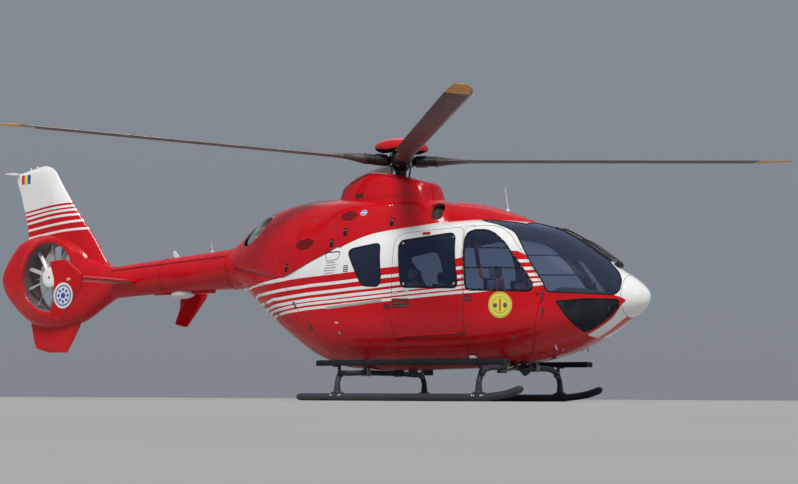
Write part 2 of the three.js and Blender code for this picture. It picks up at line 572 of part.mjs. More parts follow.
// Main rotor, built along its own axis through the hub
const rotor = new THREE.Group();
rotor.position.set(0, 0, HUB_Z);
rotor.rotation.y = tiltAngle;
body.add(rotor);
const barrel = (grow) => cylinder([0, 0, -70 - grow], [0, 0, 149.5 + grow], 170 + grow, 160 + grow, 20);
add('rotor_hub', cylinder([0, 0, -MAST_LENGTH], [0, 0, 0], 85, 85, 20).add(barrel(0)), DARK, rotor);
const cap = new THREE.LatheGeometry(
  [[0, 0], [0.72, 0], [1, 0.12], [0.96, 0.35], [0.75, 0.68], [0.4, 0.92], [0, 1]]
    .map(([r, h]) => new THREE.Vector2(325 * r, 155 * h)), 24);
cap.rotateX(Math.PI / 2);
cap.translate(0, 0, 150);
add('hub_cap', toSolid(cap), RED, rotor);
// One blade section: radius from the mast, chord, thickness, sweep of the tip
const BLADE_ROWS = [
  [120, 190, 130, 0], [420, 200, 130, 0], [620, 150, 100, 0], [900, BLADE_CHORD, 46, 0],
  [1100, BLADE_CHORD, 36, 0], [4600, BLADE_CHORD, 34, 0], [4900, 230, 26, 30], [ROTOR_RADIUS, 110, 14, 100],
];
const AEROFOIL = [[0.3, 0.25], [0.18, 0.9], [-0.05, 1], [-0.4, 0.6], [-0.7, 0.08], [-0.7, -0.08],
  [-0.4, -0.45], [-0.05, -0.75], [0.18, -0.65], [0.3, -0.25]];
const bladeBody = toGeometry(stack(BLADE_ROWS.map(([radius, chord, thick, sweep]) => (
  AEROFOIL.map(([c, h]) => [radius, chord * c - sweep, (thick * h) / 2])))));
for (let k = 0; k < 4; k++) {
  const turned = bladeBody.clone().applyMatrix4(new THREE.Matrix4().makeRotationZ(
    THREE.MathUtils.degToRad(BLADE_AZIMUTH + 90 * k)).multiply(
    new THREE.Matrix4().makeRotationY(-THREE.MathUtils.degToRad(BLADE_CONE))));
  add(`blade_${k + 1}`, toSolid(turned).subtract(barrel(FIT)), BLADE, rotor);
}

export default group;
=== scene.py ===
import math

import bpy
import numpy as np
from mathutils import Matrix, Vector
from mathutils.geometry import delaunay_2d_cdt


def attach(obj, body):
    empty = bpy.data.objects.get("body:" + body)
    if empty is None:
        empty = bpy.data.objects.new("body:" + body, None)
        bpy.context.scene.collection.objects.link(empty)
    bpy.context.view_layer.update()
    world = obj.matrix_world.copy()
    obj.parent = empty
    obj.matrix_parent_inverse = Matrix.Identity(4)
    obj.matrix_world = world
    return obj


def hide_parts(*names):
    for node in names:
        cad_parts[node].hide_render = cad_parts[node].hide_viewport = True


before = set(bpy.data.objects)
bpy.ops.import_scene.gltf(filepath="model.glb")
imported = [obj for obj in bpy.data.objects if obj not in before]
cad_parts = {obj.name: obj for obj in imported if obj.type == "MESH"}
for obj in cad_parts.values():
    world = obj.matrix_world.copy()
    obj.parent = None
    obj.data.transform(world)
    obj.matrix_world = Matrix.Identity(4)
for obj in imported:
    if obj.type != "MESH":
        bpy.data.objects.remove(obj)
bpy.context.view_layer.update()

SCENE = bpy.context.scene
ROOT = SCENE.collection
PI = math.pi
SIDES = (("right", False), ("left", True))

# Stations are millimetres from the rotor mast, which stands this far ahead of the box's middle
MX = 1548.5


def row(p):
    """Millimetres from the mast to metres in the row frame."""
    return (np.asarray(p, float) + [MX, 0, 0]) / 1000


# Camera, lights, floor
IMAGE_WIDTH, SENSOR = 798, 36
FOCAL_PIXELS = 1791.1
SHIFT_PIXELS = (62.4, 19.9)
CAMERA_TURN = (35.095, -4.35, 0.263)
CAMERA_DISTANCE = 23.33
LOOK_AT = (-1000, 0, 1800)
FLOOR_REACH = 150


def add_turned(name, data, place, towards):
    """New camera or light at a place, facing along towards."""
    o = bpy.data.objects.new(name, data)
    o.location = place
    o.rotation_mode = "QUATERNION"
    o.rotation_quaternion = Vector(towards).to_track_quat("-Z", "Y")
    ROOT.objects.link(o)
    return o


def make_camera():
    az, el, roll = (math.radians(a) for a in CAMERA_TURN)
    back = Vector((math.sin(az) * math.cos(el), -math.cos(az) * math.cos(el), math.sin(el)))
    data = bpy.data.cameras.new("camera")
    data.sensor_width = SENSOR
    data.lens = SENSOR * FOCAL_PIXELS / IMAGE_WIDTH
    data.shift_x, data.shift_y = (s / IMAGE_WIDTH for s in SHIFT_PIXELS)
    data.clip_start, data.clip_end = 0.1, 400
    cam = add_turned("camera", data, Vector(row(LOOK_AT)) + back * CAMERA_DISTANCE, -back)
    cam.rotation_quaternion = cam.rotation_quaternion @ Matrix.Rotation(roll, 3, "Z").to_quaternion()
    SCENE.camera = cam


def area_light(name, place, look, size, power, colour=(1, 1, 1)):
    data = bpy.data.lights.new(name, "AREA")
    data.shape = "DISK"
    data.size = size
    data.energy = power
    data.color = colour
    return add_turned(name, data, place, Vector(look) - Vector(place))


def make_lights():
    data = bpy.data.lights.new("key", "SUN")
    data.energy = 2.9
    data.angle = 0.35
    data.color = (1, 0.97, 0.93)
    add_turned("key", data, (0, 0, 0), (-7, 11, -18))
    area_light("front", (20, -5, 9), (1.5, 0, 1.4), 8, 220)
    fill = area_light("fill", (-14, -15, 13), (-2, 0, 1.6), 12, 520, (0.93, 0.96, 1))
    fill.visible_glossy = False
    area_light("back", (-8, 14, 18), (0, 0, 2.2), 14, 260)


def make_sky():
    SCENE.view_settings.view_transform = "Standard"
    world = bpy.data.worlds.new("studio")
    SCENE.world = world
    world.use_nodes = True
    nt = world.node_tree
    background = nt.nodes["Background"]
    background.inputs["Strength"].default_value = 0.50
    coord, split, ramp = node(nt, "TexCoord"), node(nt, "SeparateXYZ"), node(nt, "ValToRGB")
    low, high = ramp.color_ramp.elements
    low.position, high.position = 0.0, 0.6
    low.color = (0.44, 0.48, 0.54, 1)
    high.color = (0.50, 0.58, 0.70, 1)
    nt.links.new(coord.outputs["Generated"], split.inputs[0])
    nt.links.new(split.outputs["Z"], ramp.inputs[0])
    nt.links.new(ramp.outputs[0], background.inputs["Color"])


def make_floor():
    s = FLOOR_REACH
    mesh = bpy.data.meshes.new("floor")
    mesh.from_pydata([(-s, -s, 0), (s, -s, 0), (s, s, 0), (-s, s, 0)], [], [(0, 1, 2, 3)])
    mesh.materials.append(MATS["floor"])
    floor = bpy.data.objects.new("floor", mesh)
    ROOT.objects.link(floor)


# Materials
MATS = {}


def node(nt, kind, **values):
    n = nt.nodes.new("ShaderNode" + kind)
    for k, v in values.items():
        if k in n.inputs:
            n.inputs[k].default_value = v
        else:
            setattr(n, k, v)
    return n


def noise(nt, vector, scale, detail=3.0, rough=0.55, stretch=None):
    if stretch:
        m = node(nt, "Mapping", Scale=stretch)
        nt.links.new(vector, m.inputs["Vector"])
        vector = m.outputs[0]
    n = node(nt, "TexNoise", Scale=scale, Detail=detail, Roughness=rough)
    nt.links.new(vector, n.inputs["Vector"])
    return n.outputs[0]


def spread(nt, value, low, high, a, b):
    """Maps low..high of value to a..b."""
    m = node(nt, "MapRange")
    for k, v in zip(("From Min", "From Max", "To Min", "To Max"), (low, high, a, b)):
        m.inputs[k].default_value = v
    nt.links.new(value, m.inputs["Value"])
    return m.outputs[0]


def mixed(nt, fac, a, b):
    """Colour a going over to b with fac; each is a colour or the output of a node."""
    m = nt.nodes.new("ShaderNodeMix")
    m.data_type = "RGBA"
    for i, c in ((6, a), (7, b)):
        if isinstance(c, tuple):
            m.inputs[i].default_value = (*c[:3], 1)
        else:
            nt.links.new(c, m.inputs[i])
    nt.links.new(fac, m.inputs[0])
    return m.outputs[2]


def shaded(colour, share):
    return tuple(c * share for c in colour)


def new_material(name, colour, alpha=1):
    m = bpy.data.materials.new(name)
    m.use_nodes = True
    m.diffuse_color = (*colour, alpha)
    MATS[name] = m
    nt = m.node_tree
    return nt, nt.nodes["Principled BSDF"], node(nt, "TexCoord").outputs["Object"]


def grime_and_painted_shade(nt, at, out, grime, painted_low_shade):
    """Streaks of grime over the colour out, and painted shade low on the hull: the grime colour, mottled,
    darkens it towards the bottom.
    """
    streaks = spread(nt, noise(nt, at, 3.2, 6, 0.7, (1, 1, 0.35)), 0.52, 0.78, 0, 0.55)
    out = mixed(nt, streaks, out, grime)
    # painted shade: darker towards the bottom, with a mottle
    if painted_low_shade:
        split = node(nt, "SeparateXYZ")
        nt.links.new(at, split.inputs[0])
        both = node(nt, "Math", operation="MULTIPLY")
        nt.links.new(spread(nt, split.outputs["Z"], 0.45, 0.95, painted_low_shade, 0), both.inputs[0])
        nt.links.new(spread(nt, noise(nt, at, 6, 5, 0.7), 0.35, 0.65, 0.25, 1), both.inputs[1])
        out = mixed(nt, both.outputs[0], out, grime)
    return out


def material(name, colour, rough, metal=0.0, coat=0.0, vary=0.12, scale=2.5, speck=0.0, grime=None,
             painted_low_shade=0.0, bump=0.0, bump_scale=60.0, rough_vary=0.08, gloss=0.5, sheen=0.0, stretch=None):
    """A finish with drifting colour, grime, painted shade low down, a rough surface and fine bumps, all by
    object position.
    """
    nt, bsdf, at = new_material(name, colour)
    bsdf.inputs["Metallic"].default_value = metal
    bsdf.inputs["Specular IOR Level"].default_value = gloss
    if coat:
        bsdf.inputs["Coat Weight"].default_value = coat
        bsdf.inputs["Coat Roughness"].default_value = 0.04
    if sheen:
        bsdf.inputs["Sheen Weight"].default_value = sheen
    drift = spread(nt, noise(nt, at, scale, 4, stretch=stretch), 0.3, 0.7, 0, 1)
    out = mixed(nt, drift, shaded(colour, 1 - vary), tuple(min(1, c) for c in shaded(colour, 1 + vary * 0.6)))
    if grime:
        out = grime_and_painted_shade(nt, at, out, grime, painted_low_shade)
    if speck:
        out = mixed(nt, spread(nt, noise(nt, at, 140, 2), 0.62, 0.7, 0, speck), out, shaded(colour, 0.35))
    nt.links.new(out, bsdf.inputs["Base Color"])
    uneven = noise(nt, at, scale * 2.7, 5, 0.65)
    nt.links.new(spread(nt, uneven, 0.3, 0.7, max(rough - rough_vary, 0.02), rough + rough_vary),
                 bsdf.inputs["Roughness"])
    if bump:
        b = node(nt, "Bump", Strength=bump, Distance=0.002)
        nt.links.new(noise(nt, at, bump_scale, 3, stretch=stretch), b.inputs["Height"])
        nt.links.new(b.outputs[0], bsdf.inputs["Normal"])


def glass_material(name, tint, body, gloss=0.10, shine=0.5, rough=0.015):
    """Tinted pane: what is behind it shows through, under a weak reflection and a diffuse body colour, which
    on the outer panes is a painted bluish reflection of the sky.
    """
    nt, bsdf, at = new_material(name, tint, 0.4)
    smear = noise(nt, at, 5, 5, 0.7, (1, 1, 2.5))
    # body is laid on as a diffuse colour, mottled by the smear: on the outer panes a painted sky reflection
    nt.links.new(mixed(nt, smear, shaded(body, 0.7), body), bsdf.inputs["Base Color"])
    nt.links.new(spread(nt, smear, 0.35, 0.75, rough, rough * 4), bsdf.inputs["Roughness"])
    bsdf.inputs["Specular IOR Level"].default_value = shine
    see = node(nt, "BsdfTransparent", Color=(*tint, 1))
    edge = node(nt, "LayerWeight", Blend=0.28)
    mix = node(nt, "MixShader")
    nt.links.new(spread(nt, edge.outputs["Fresnel"], 0, 1, gloss, 1.0), mix.inputs[0])
    nt.links.new(see.outputs[0], mix.inputs[1])
    nt.links.new(bsdf.outputs[0], mix.inputs[2])
    nt.links.new(mix.outputs[0], nt.nodes["Material Output"].inputs["Surface"])


def make_paints():
    red = dict(coat=0.35, gloss=0.2, vary=0.08, bump=0.04, bump_scale=25, rough_vary=0.05)
    # this red gets painted shade towards the bottom
    material("red", (0.56, 0.003, 0.008), 0.28, grime=(0.22, 0.006, 0.008), painted_low_shade=0.5, **red)
    material("red_tail", (0.54, 0.003, 0.008), 0.28, grime=(0.26, 0.006, 0.008), **red)
    # dark red for seams, fasteners and small marks, and also painted shade under lips and rails and in drawn
    # recesses
    material("red_dull", (0.15, 0.004, 0.006), 0.4, coat=0.4, vary=0.10, grime=(0.07, 0.004, 0.004))
    material("white", (0.78, 0.78, 0.76), 0.20, coat=0.7, gloss=0.3, vary=0.05, grime=(0.52, 0.50, 0.46),
             bump=0.03, bump_scale=25, rough_vary=0.05)
    # this white gets painted shade towards the bottom
    material("white_low", (0.62, 0.61, 0.57), 0.32, coat=0.7, grime=(0.30, 0.26, 0.22), painted_low_shade=0.3,
             bump=0.03)
    material("white_trim", (0.72, 0.72, 0.70), 0.4, vary=0.06, scale=9, bump=0.15)
    material("yellow", (0.76, 0.70, 0.07), 0.35, coat=0.6, vary=0.06, scale=9)
    material("blue", (0.02, 0.07, 0.35), 0.35, coat=0.6, vary=0.08, scale=9)
    material("sky_blue", (0.09, 0.27, 0.60), 0.35, coat=0.6, vary=0.08, scale=9)


def make_dark_finishes():
    material("edge", (0.09, 0.09, 0.095), 0.55, vary=0.15, bump=0.1)
    material("liner", (0.10, 0.105, 0.12), 0.75, vary=0.10, scale=6, bump=0.25, bump_scale=220)
    # near black for seals and trim, and also painted shade in the cowl's slots
    material("rubber", (0.008, 0.008, 0.009), 0.5, gloss=0.2, vary=0.3, scale=14, bump=0.15, bump_scale=180)
    material("black", (0.018, 0.018, 0.020), 0.38, vary=0.25, scale=9, bump=0.1, bump_scale=90)
    material("dark_trim", (0.035, 0.036, 0.040), 0.65, vary=0.2, scale=9, bump=0.4, bump_scale=420)
    material("panel_face", (0.05, 0.052, 0.058), 0.5, vary=0.15, scale=15, bump=0.15, bump_scale=300)
    material("screen", (0.012, 0.018, 0.028), 0.12, vary=0.2, scale=20)
    # sooty black for the exhausts, and also painted shade deep in the intakes
    material("soot_and_shade", (0.035, 0.030, 0.027), 0.85, vary=0.4, scale=12, bump=0.3)
    material("gear_grey", (0.042, 0.048, 0.060), 0.42, gloss=0.3, vary=0.18, scale=8, speck=0.5,
             grime=(0.05, 0.045, 0.04), bump=0.12, bump_scale=160)
    material("step_dark", (0.014, 0.016, 0.020), 0.62, gloss=0.2, vary=0.25, scale=10, speck=0.6, bump=0.5,
             bump_scale=520)


def make_metals():
    material("steel", (0.62, 0.62, 0.60), 0.28, metal=1.0, vary=0.15, scale=20, bump=0.1, bump_scale=150)
    material("soot_steel", (0.50, 0.46, 0.40), 0.34, metal=1.0, vary=0.35, scale=7, grime=(0.10, 0.08, 0.06),
             bump=0.15, bump_scale=90, stretch=(0.4, 2, 2))
    material("cast", (0.26, 0.27, 0.28), 0.5, metal=0.8, vary=0.2, scale=15, bump=0.4, bump_scale=160)
    material("scuffed", (0.055, 0.052, 0.050), 0.58, metal=0.3, vary=0.5, scale=12, bump=0.3, bump_scale=200)


def make_rotor_finishes():
    material("blade", (0.060, 0.047, 0.042), 0.48, vary=0.18, scale=3, grime=(0.11, 0.09, 0.075), bump=0.08,
             bump_scale=70, stretch=(1, 1, 1))
    material("blade_edge", (0.20, 0.19, 0.18), 0.36, metal=0.7, vary=0.2, scale=9)
    material("blade_tip", (0.62, 0.30, 0.055), 0.42, vary=0.15, scale=8, grime=(0.30, 0.15, 0.05))
    material("hub_dark", (0.013, 0.013, 0.015), 0.45, metal=0.3, gloss=0.3, vary=0.3, scale=14, bump=0.2,
             bump_scale=120)
    material("cuff", (0.014, 0.015, 0.018), 0.50, gloss=0.3, vary=0.25, scale=8, bump=0.15, bump_scale=120)
    material("duct", (0.13, 0.095, 0.092), 0.55, gloss=0.3, vary=0.2, scale=4, grime=(0.05, 0.03, 0.03),
             stretch=(2, 1, 2))
    material("hub_white", (0.82, 0.82, 0.79), 0.35, vary=0.06, scale=12, speck=0.4, grime=(0.62, 0.60, 0.55))
    material("fan", (0.38, 0.38, 0.37), 0.35, coat=0.3, vary=0.10, scale=8, grime=(0.30, 0.28, 0.25))


def make_cloths():
    material("seat", (0.20, 0.205, 0.21), 0.9, vary=0.18, scale=9, bump=0.8, bump_scale=900, sheen=0.35)
    material("belt", (0.85, 0.17, 0.025), 0.7, scale=40, bump=0.6, bump_scale=900, sheen=0.2)
    material("carpet", (0.09, 0.095, 0.10), 0.95, vary=0.25, scale=14, speck=0.5, bump=0.8, bump_scale=500)


def make_lenses_and_glass():
    for name, colour, rough in (("amber_lens", (0.75, 0.35, 0.03), 0.15),
                                ("red_lens", (0.65, 0.02, 0.02), 0.12),
                                ("clear_lens", (0.75, 0.76, 0.74), 0.12)):
        material(name, colour, rough, coat=1, vary=0.1, scale=30)
    glass_material("glass", (0.84, 0.87, 0.91), (0.012, 0.016, 0.022), gloss=0.07, shine=0.07, rough=0.07)
    # the body colours of these outer panes paint a bluish sky reflection
    glass_material("glass_screen", (0.80, 0.84, 0.90), (0.24, 0.31, 0.50), gloss=0.09, shine=0.07, rough=0.07)
    glass_material("glass_door", (0.68, 0.75, 0.86), (0.13, 0.18, 0.38))
    glass_material("glass_chin", (0.70, 0.74, 0.76), (0.11, 0.125, 0.15), gloss=0.14)
    glass_material("glass_dark", (0.60, 0.64, 0.70), (0.165, 0.23, 0.44))


def make_materials():
    make_paints()
    make_dark_finishes()
    make_metals()
    make_rotor_finishes()
    make_cloths()
    make_lenses_and_glass()
    material("floor", (0.38, 0.38, 0.37), 0.75, vary=0.04, scale=0.8, bump=0.05, bump_scale=40)


# Curved hull surfaces
def column(rows, k):
    """Smooth monotone curve through one column of a table of stations."""
    x = np.array([r[0] for r in rows], float)
    v = np.array([r[k] for r in rows], float)
    d = np.diff(v) / np.diff(x)
    m = np.empty(len(v))
    m[0], m[-1] = d[0], d[-1]
    for i in range(1, len(v) - 1):
        m[i] = 0 if d[i - 1] * d[i] <= 0 else 2 * d[i - 1] * d[i] / (d[i - 1] + d[i])

    def f(s):
        s = np.asarray(s, float)
        i = np.clip(np.searchsorted(x, s, side="left") - 1, 0, len(x) - 2)
        h = x[i + 1] - x[i]
        t = np.clip((s - x[i]) / h, 0, 1)
        return ((2 * t**3 - 3 * t**2 + 1) * v[i] + (t**3 - 2 * t**2 + t) * h * m[i]
                + (3 * t**2 - 2 * t**3) * v[i + 1] + (t**3 - t**2) * h * m[i + 1])

    return f


class Hull:
    """Right-hand half of a rounded body along X, with points named by station x and angle t, -pi/2 below."""

    def __init__(self, rows, girth=800):
        self.c = [column(rows, k) for k in range(1, 7)]
        self.x0, self.x1 = rows[0][0], rows[-1][0]
        self.girth = girth

    def raw(self, x, t):
        b, top, h, m, lo, hi = (f(x) for f in self.c)
        n = np.where(t >= 0, hi, lo)
        c, s = np.abs(np.cos(t)), np.abs(np.sin(t))
        c = np.where(c < 1e-6, 0, c)
        r = (c**n + s**n) ** (-1 / n)
        return np.stack([x, -h * r * c, m + np.where(t >= 0, top - m, m - b) * r * np.sin(t)], -1)

    def normal(self, x, t):
        x, t = np.broadcast_arrays(np.asarray(x, float), np.asarray(t, float))
        e = 1.0
        xa, xb = np.maximum(x - e, self.x0), np.minimum(x + e, self.x1)
        ta, tb = np.maximum(t - 0.002, -PI / 2), np.minimum(t + 0.002, PI / 2)
        dx = self.raw(xb, t) - self.raw(xa, t)
        dt = self.raw(x, tb) - self.raw(x, ta)
        n = np.cross(dx, dt)
        n /= np.maximum(np.linalg.norm(n, axis=-1, keepdims=True), 1e-9)
        pole = np.abs(np.abs(t) - PI / 2) < 1e-6
        n[..., 1] = np.where(pole, 0, n[..., 1])
        return n / np.maximum(np.linalg.norm(n, axis=-1, keepdims=True), 1e-9)

    def at(self, x, t, lift=0.0):
        x, t = np.broadcast_arrays(np.asarray(x, float), np.asarray(t, float))
        p = self.raw(x, t)
        return p + self.normal(x, t) * np.asarray(lift)[..., None] if np.any(lift) else p

    def t_of(self, x, z):
        """Angle of the point at station x and height z."""
        b, top, _, m, lo, hi = (f(x) for f in self.c)
        up = z >= m
        q = np.clip((z - m) / np.where(up, top - m, m - b), -1, 1)
        n = np.where(up, hi, lo)
        return np.arctan2(q, (1 - np.abs(q) ** n) ** (1 / n))

    def t_at_y(self, x, y, side=1):
        """Angle where the half breadth is y, above (side 1) or below (side -1) the widest line."""
        _, _, h, _, lo, hi = (f(x) for f in self.c)
        n = hi if side > 0 else lo
        c = np.clip(np.abs(y) / h, 0, 1)
        return side * np.arctan2((1 - c**n) ** (1 / n), c)

    def spot(self, x, t, lift=0.0):
        """One point of the surface, and the way out from it."""
        x, t = np.array(float(x)), np.array(float(t))
        n = self.normal(x, t)
        return self.raw(x, t) + n * lift, n


def polyline(points, step=14.0, closed=False):
    """Straight runs through the points, cut into pieces of at most one step."""
    pts = [np.asarray(p, float) for p in points]
    if closed:
        pts.append(pts[0])
    out = []
    for a, b in zip(pts[:-1], pts[1:]):
        n = max(1, int(math.ceil(np.linalg.norm(b - a) / step)))
        out += [a + (b - a) * i / n for i in range(n)]
    return np.array(out if closed else out + [pts[-1]])


def spline(points, per=None, closed=False, step=16.0):
    """Curve through the points, with per pieces between each two, or else pieces of about one step."""
    p = np.asarray(points, float)
    n = len(p)
    out = []
    for i in range(n if closed else n - 1):
        b, c = p[i], p[(i + 1) % n]
        a = p[i - 1] if closed or i else 2 * b - c
        d = p[(i + 2) % n] if closed or i + 2 < n else 2 * c - b
        pieces = per or max(2, int(math.ceil(np.linalg.norm(c - b) / step)))
        for k in range(pieces):
            t = k / pieces
            out.append(0.5 * (2 * b + (-a + c) * t + (2 * a - 5 * b + 4 * c - d) * t * t
                              + (-a + 3 * b - 3 * c + d) * t**3))
    return np.array(out if closed else out + [p[-1]])


def bend(start, corner, end, shares):
    """Points at the given shares of the curve from start to end that leans towards the corner."""
    return [(1 - w) ** 2 * start + 2 * w * (1 - w) * corner + w * w * end for w in shares]


def rounded(points, radius, step=14.0, arc=7):
    """Closed outline with every corner rounded, by one radius or by one for each corner."""
    p = np.asarray(points, float)
    n = len(p)
    radii = np.broadcast_to(radius, n)
    out = []
    for i in range(n):
        b = p[i]
        u, v = p[i - 1] - b, p[(i + 1) % n] - b
        lu, lv = np.linalg.norm(u), np.linalg.norm(v)
        u, v = u / lu, v / lv
        angle = math.acos(float(np.clip(np.dot(u, v), -1, 1)))
        r = min(radii[i], 0.45 * min(lu, lv) * math.tan(angle / 2))
        cut = r / math.tan(angle / 2) if angle < PI - 1e-3 else 0
        out += bend(b + u * cut, b, b + v * cut, [k / arc for k in range(arc + 1)])
    return polyline(out, step, True)


def rounded_open(points, cut=60, step=16):
    """Open line whose corners are rounded from one cut before them to one cut after."""
    p = np.asarray(points, float)
    out = [p[0]]
    for a, b, c in zip(p[:-2], p[1:-1], p[2:]):
        la, lc = np.linalg.norm(a - b), np.linalg.norm(c - b)
        k = min(cut, 0.45 * la, 0.45 * lc)
        out += bend(b + (a - b) / la * k, b, b + (c - b) / lc * k, np.linspace(0, 1, 6))
    return polyline(out + [p[-1]], step)


def grown(points, grow):
    """Closed outline pushed outwards by grow."""
    p = np.asarray(points, float)
    nxt, prv = np.roll(p, -1, 0), np.roll(p, 1, 0)
    s = math.copysign(1, np.sum(p[:, 0] * nxt[:, 1] - nxt[:, 0] * p[:, 1]))
    u = (p - prv) / np.maximum(np.linalg.norm(p - prv, axis=1, keepdims=True), 1e-9)
    v = (nxt - p) / np.maximum(np.linalg.norm(nxt - p, axis=1, keepdims=True), 1e-9)
    nx, nz = s * (u[:, 1] + v[:, 1]), -s * (u[:, 0] + v[:, 0])
    k = 2 * grow / np.maximum(nx * nx + nz * nz, 0.4)
    return p + np.stack([nx * k, nz * k], 1)


def turns(n):
    """The angles of n places round a circle."""
    return np.arange(n) * 2 * PI / n


def oval(a, b, n=28):
    t = turns(n)
    return np.stack([a * np.cos(t), b * np.sin(t)], 1)


def rect(a, b, r=3.0, skew=0.0):
    q = rounded([(-a, -b), (a, -b), (a, b), (-a, b)], r, 30, 3)
    q[:, 0] += q[:, 1] * skew
    return q


def both_sides(p):
    """Closed ring from the right-hand half of it, from the middle below to the middle above."""
    return np.concatenate([p, (p * [1, -1, 1])[::-1][1:-1]])


def direction(p, closed=False):
    """Unit vectors along a line of points."""
    d = (np.roll(p, -1, 0) - np.roll(p, 1, 0)) if closed else np.gradient(p, axis=0)
    return d / np.maximum(np.linalg.norm(d, axis=1, keepdims=True), 1e-9)


def inside(poly, q):
    """Which points q lie in the closed outline poly."""
    x, y = q[:, 0], q[:, 1]
    hit = np.zeros(len(q), bool)
    for (ax, ay), (bx, by) in zip(poly, np.roll(poly, 1, 0)):
        cross = (ay > y) != (by > y)
        if cross.any():
            hit ^= cross & (x < (bx - ax) * (y - ay) / (by - ay + 1e-30) + ax)
    return hit


def triangulate(loops, lines, grid, margin):
    """Fine triangles over a flat region: grid points and every loop and line kept as edges."""
    pts, edges = [], []
    for closed, group in ((True, loops), (False, lines)):
        for loop in group:
            s, n = len(pts), len(loop)
            pts += [Vector((float(a), float(b))) for a, b in loop]
            edges += [(s + i, s + (i + 1) % n) for i in range(n if closed else n - 1)]
    if len(grid):
        have = np.array([(p.x, p.y) for p in pts])
        keep = np.ones(len(grid), bool)
        for s in range(0, len(grid), 4000):
            keep[s:s + 4000] = np.linalg.norm(grid[s:s + 4000, None, :] - have[None], axis=2).min(1) > margin
        pts += [Vector((float(a), float(b))) for a, b in grid[keep]]
    v, _, f, *_ = delaunay_2d_cdt(pts, edges, [], 0, 1e-4, False)
    return np.array([(p.x, p.y) for p in v]), np.array([t for t in f if len(t) == 3])


def facing(p, f, n):
    """Triangles f on the points p, turned so that each faces along n."""
    a, b, c = p[f[:, 0]], p[f[:, 1]], p[f[:, 2]]
    turn = np.einsum("ij,ij->i", np.cross(b - a, c - a), n) < 0
    f[turn] = f[turn][:, ::-1]
    return f


class Skin:
    """Half of a hull cut up along outlines in its own flat map: u along X, v = angle times girth."""

    def __init__(self, hull, loops=(), lines=(), step=34.0, x0=None, x1=None, t0=-PI / 2):
        self.h = hull
        g = hull.girth
        x0 = hull.x0 if x0 is None else x0
        x1 = hull.x1 if x1 is None else x1
        low, high = t0 * g, PI / 2 * g
        nx, nv = int(round((x1 - x0) / step)), int(round((PI / 2 - t0) * g / step))
        whole = np.linspace(x0, x1, nx + 1)
        halved = np.concatenate([[x0], x0 + (np.arange(nx) + 0.5) * (x1 - x0) / nx, [x1]])
        grid = []
        for j in range(nv + 1):
            us = halved if j % 2 else whole
            grid.append(np.stack([us, np.full(len(us), low + (PI / 2 - t0) * g * j / nv)], 1))
        clip = lambda q: np.clip(q, [x0, low], [x1, high])
        border = polyline([(x0, low), (x1, low), (x1, high), (x0, high)], step, True)
        self.v, self.f = triangulate([border] + [clip(q) for q in loops], [clip(q) for q in lines],
                                     np.concatenate(grid), step * 0.42)
        self.mid = self.v[self.f].mean(1)
        self.x, self.t = self.v[:, 0], np.clip(self.v[:, 1] / g, -PI / 2, PI / 2)

    def part(self, mask, paint, names, thick, lift=0.0, both=False, inner="liner", wall="edge"):
        """Mesh data of the triangles in mask, given thickness inwards; paint says which name each one has."""
        used, f = np.unique(self.f[mask], return_inverse=True)
        x, t = self.x[used], self.t[used]
        p, n = self.h.at(x, t, lift), self.h.normal(x, t)
        f = f.reshape(-1, 3)
        return solid_sheet(p, n, facing(p, f, n[f].mean(1)), paint[mask], names, thick, both, inner, wall)


def solid_sheet(p, n, f, s, names, thick, both, inner, wall):
    """A sheet with smooth outside, a smooth inside and flat edge walls. both adds its mirror image."""
    names = list(dict.fromkeys([*names, inner, wall]))
    q = p - n * thick
    pole = np.abs(p[:, 1]) < 1e-6
    q[pole, 1] = 0
    blocks = [(p, n, f, s), (q, -n, f[:, ::-1], np.full(len(f), names.index(inner)))]
    e = np.concatenate([f[:, [0, 1]], f[:, [1, 2]], f[:, [2, 0]]])
    _, first, count = np.unique(np.sort(e, 1), axis=0, return_index=True, return_counts=True)
    rim = e[first[count == 1]]
    rim = rim[~(pole[rim[:, 0]] & pole[rim[:, 1]])]
    if len(rim):
        a, b = rim[:, 0], rim[:, 1]
        k = len(rim)
        i = np.arange(k)
        out = -np.cross(p[b] - p[a], -n[a])
        out /= np.maximum(np.linalg.norm(out, axis=1, keepdims=True), 1e-9)
        points = np.concatenate([p[a], p[b], q[b], q[a]])
        faces = np.concatenate([np.stack([i, i + 3 * k, i + 2 * k], 1), np.stack([i, i + 2 * k, i + k], 1)])
        faces = facing(points, faces, np.tile(out, (2, 1)))
        blocks.append((points, np.tile(out, (4, 1)), faces, np.full(2 * k, names.index(wall))))
    if both:
        blocks += [(b[0] * [1, -1, 1], b[1] * [1, -1, 1], b[2][:, ::-1], b[3]) for b in blocks]
    return blocks, names


def make_object(name, blocks, names, body, slot, replace=(), mirror=False):
    """Joins blocks of points, normals, faces and paint into one object and puts it on its body."""
    starts = np.cumsum([0] + [len(b[0]) for b in blocks])
    points, normals, paint = (np.concatenate([b[k] for b in blocks]) for k in (0, 1, 3))
    faces = np.concatenate([b[2] + start for b, start in zip(blocks, starts)])
    if mirror:
        points, normals, faces = points * [1, -1, 1], normals * [1, -1, 1], faces[:, ::-1]
    mesh = new_mesh(name, points, faces.tolist(), names, paint, np.ones(len(faces), bool))
    if len(mesh.vertices) == len(normals):
        mesh.normals_split_custom_set_from_vertices(normals.tolist())
    return put(bpy.data.objects.new(name, mesh), body, replace)


def new_mesh(name, points, faces, names, paint, smooth):
    mesh = bpy.data.meshes.new(name)
    mesh.from_pydata(row(points).tolist(), [], faces)
    for m in names:
        mesh.materials.append(MATS[m])
    mesh.polygons.foreach_set("material_index", np.array(paint, np.int32))
    mesh.polygons.foreach_set("use_smooth", np.array(smooth, bool))
    mesh.validate()
    return mesh


def put(o, body, replace=()):
    if o.name not in ROOT.objects:
        ROOT.objects.link(o)
    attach(o, body)
    if replace:
        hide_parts(*replace)
    return o


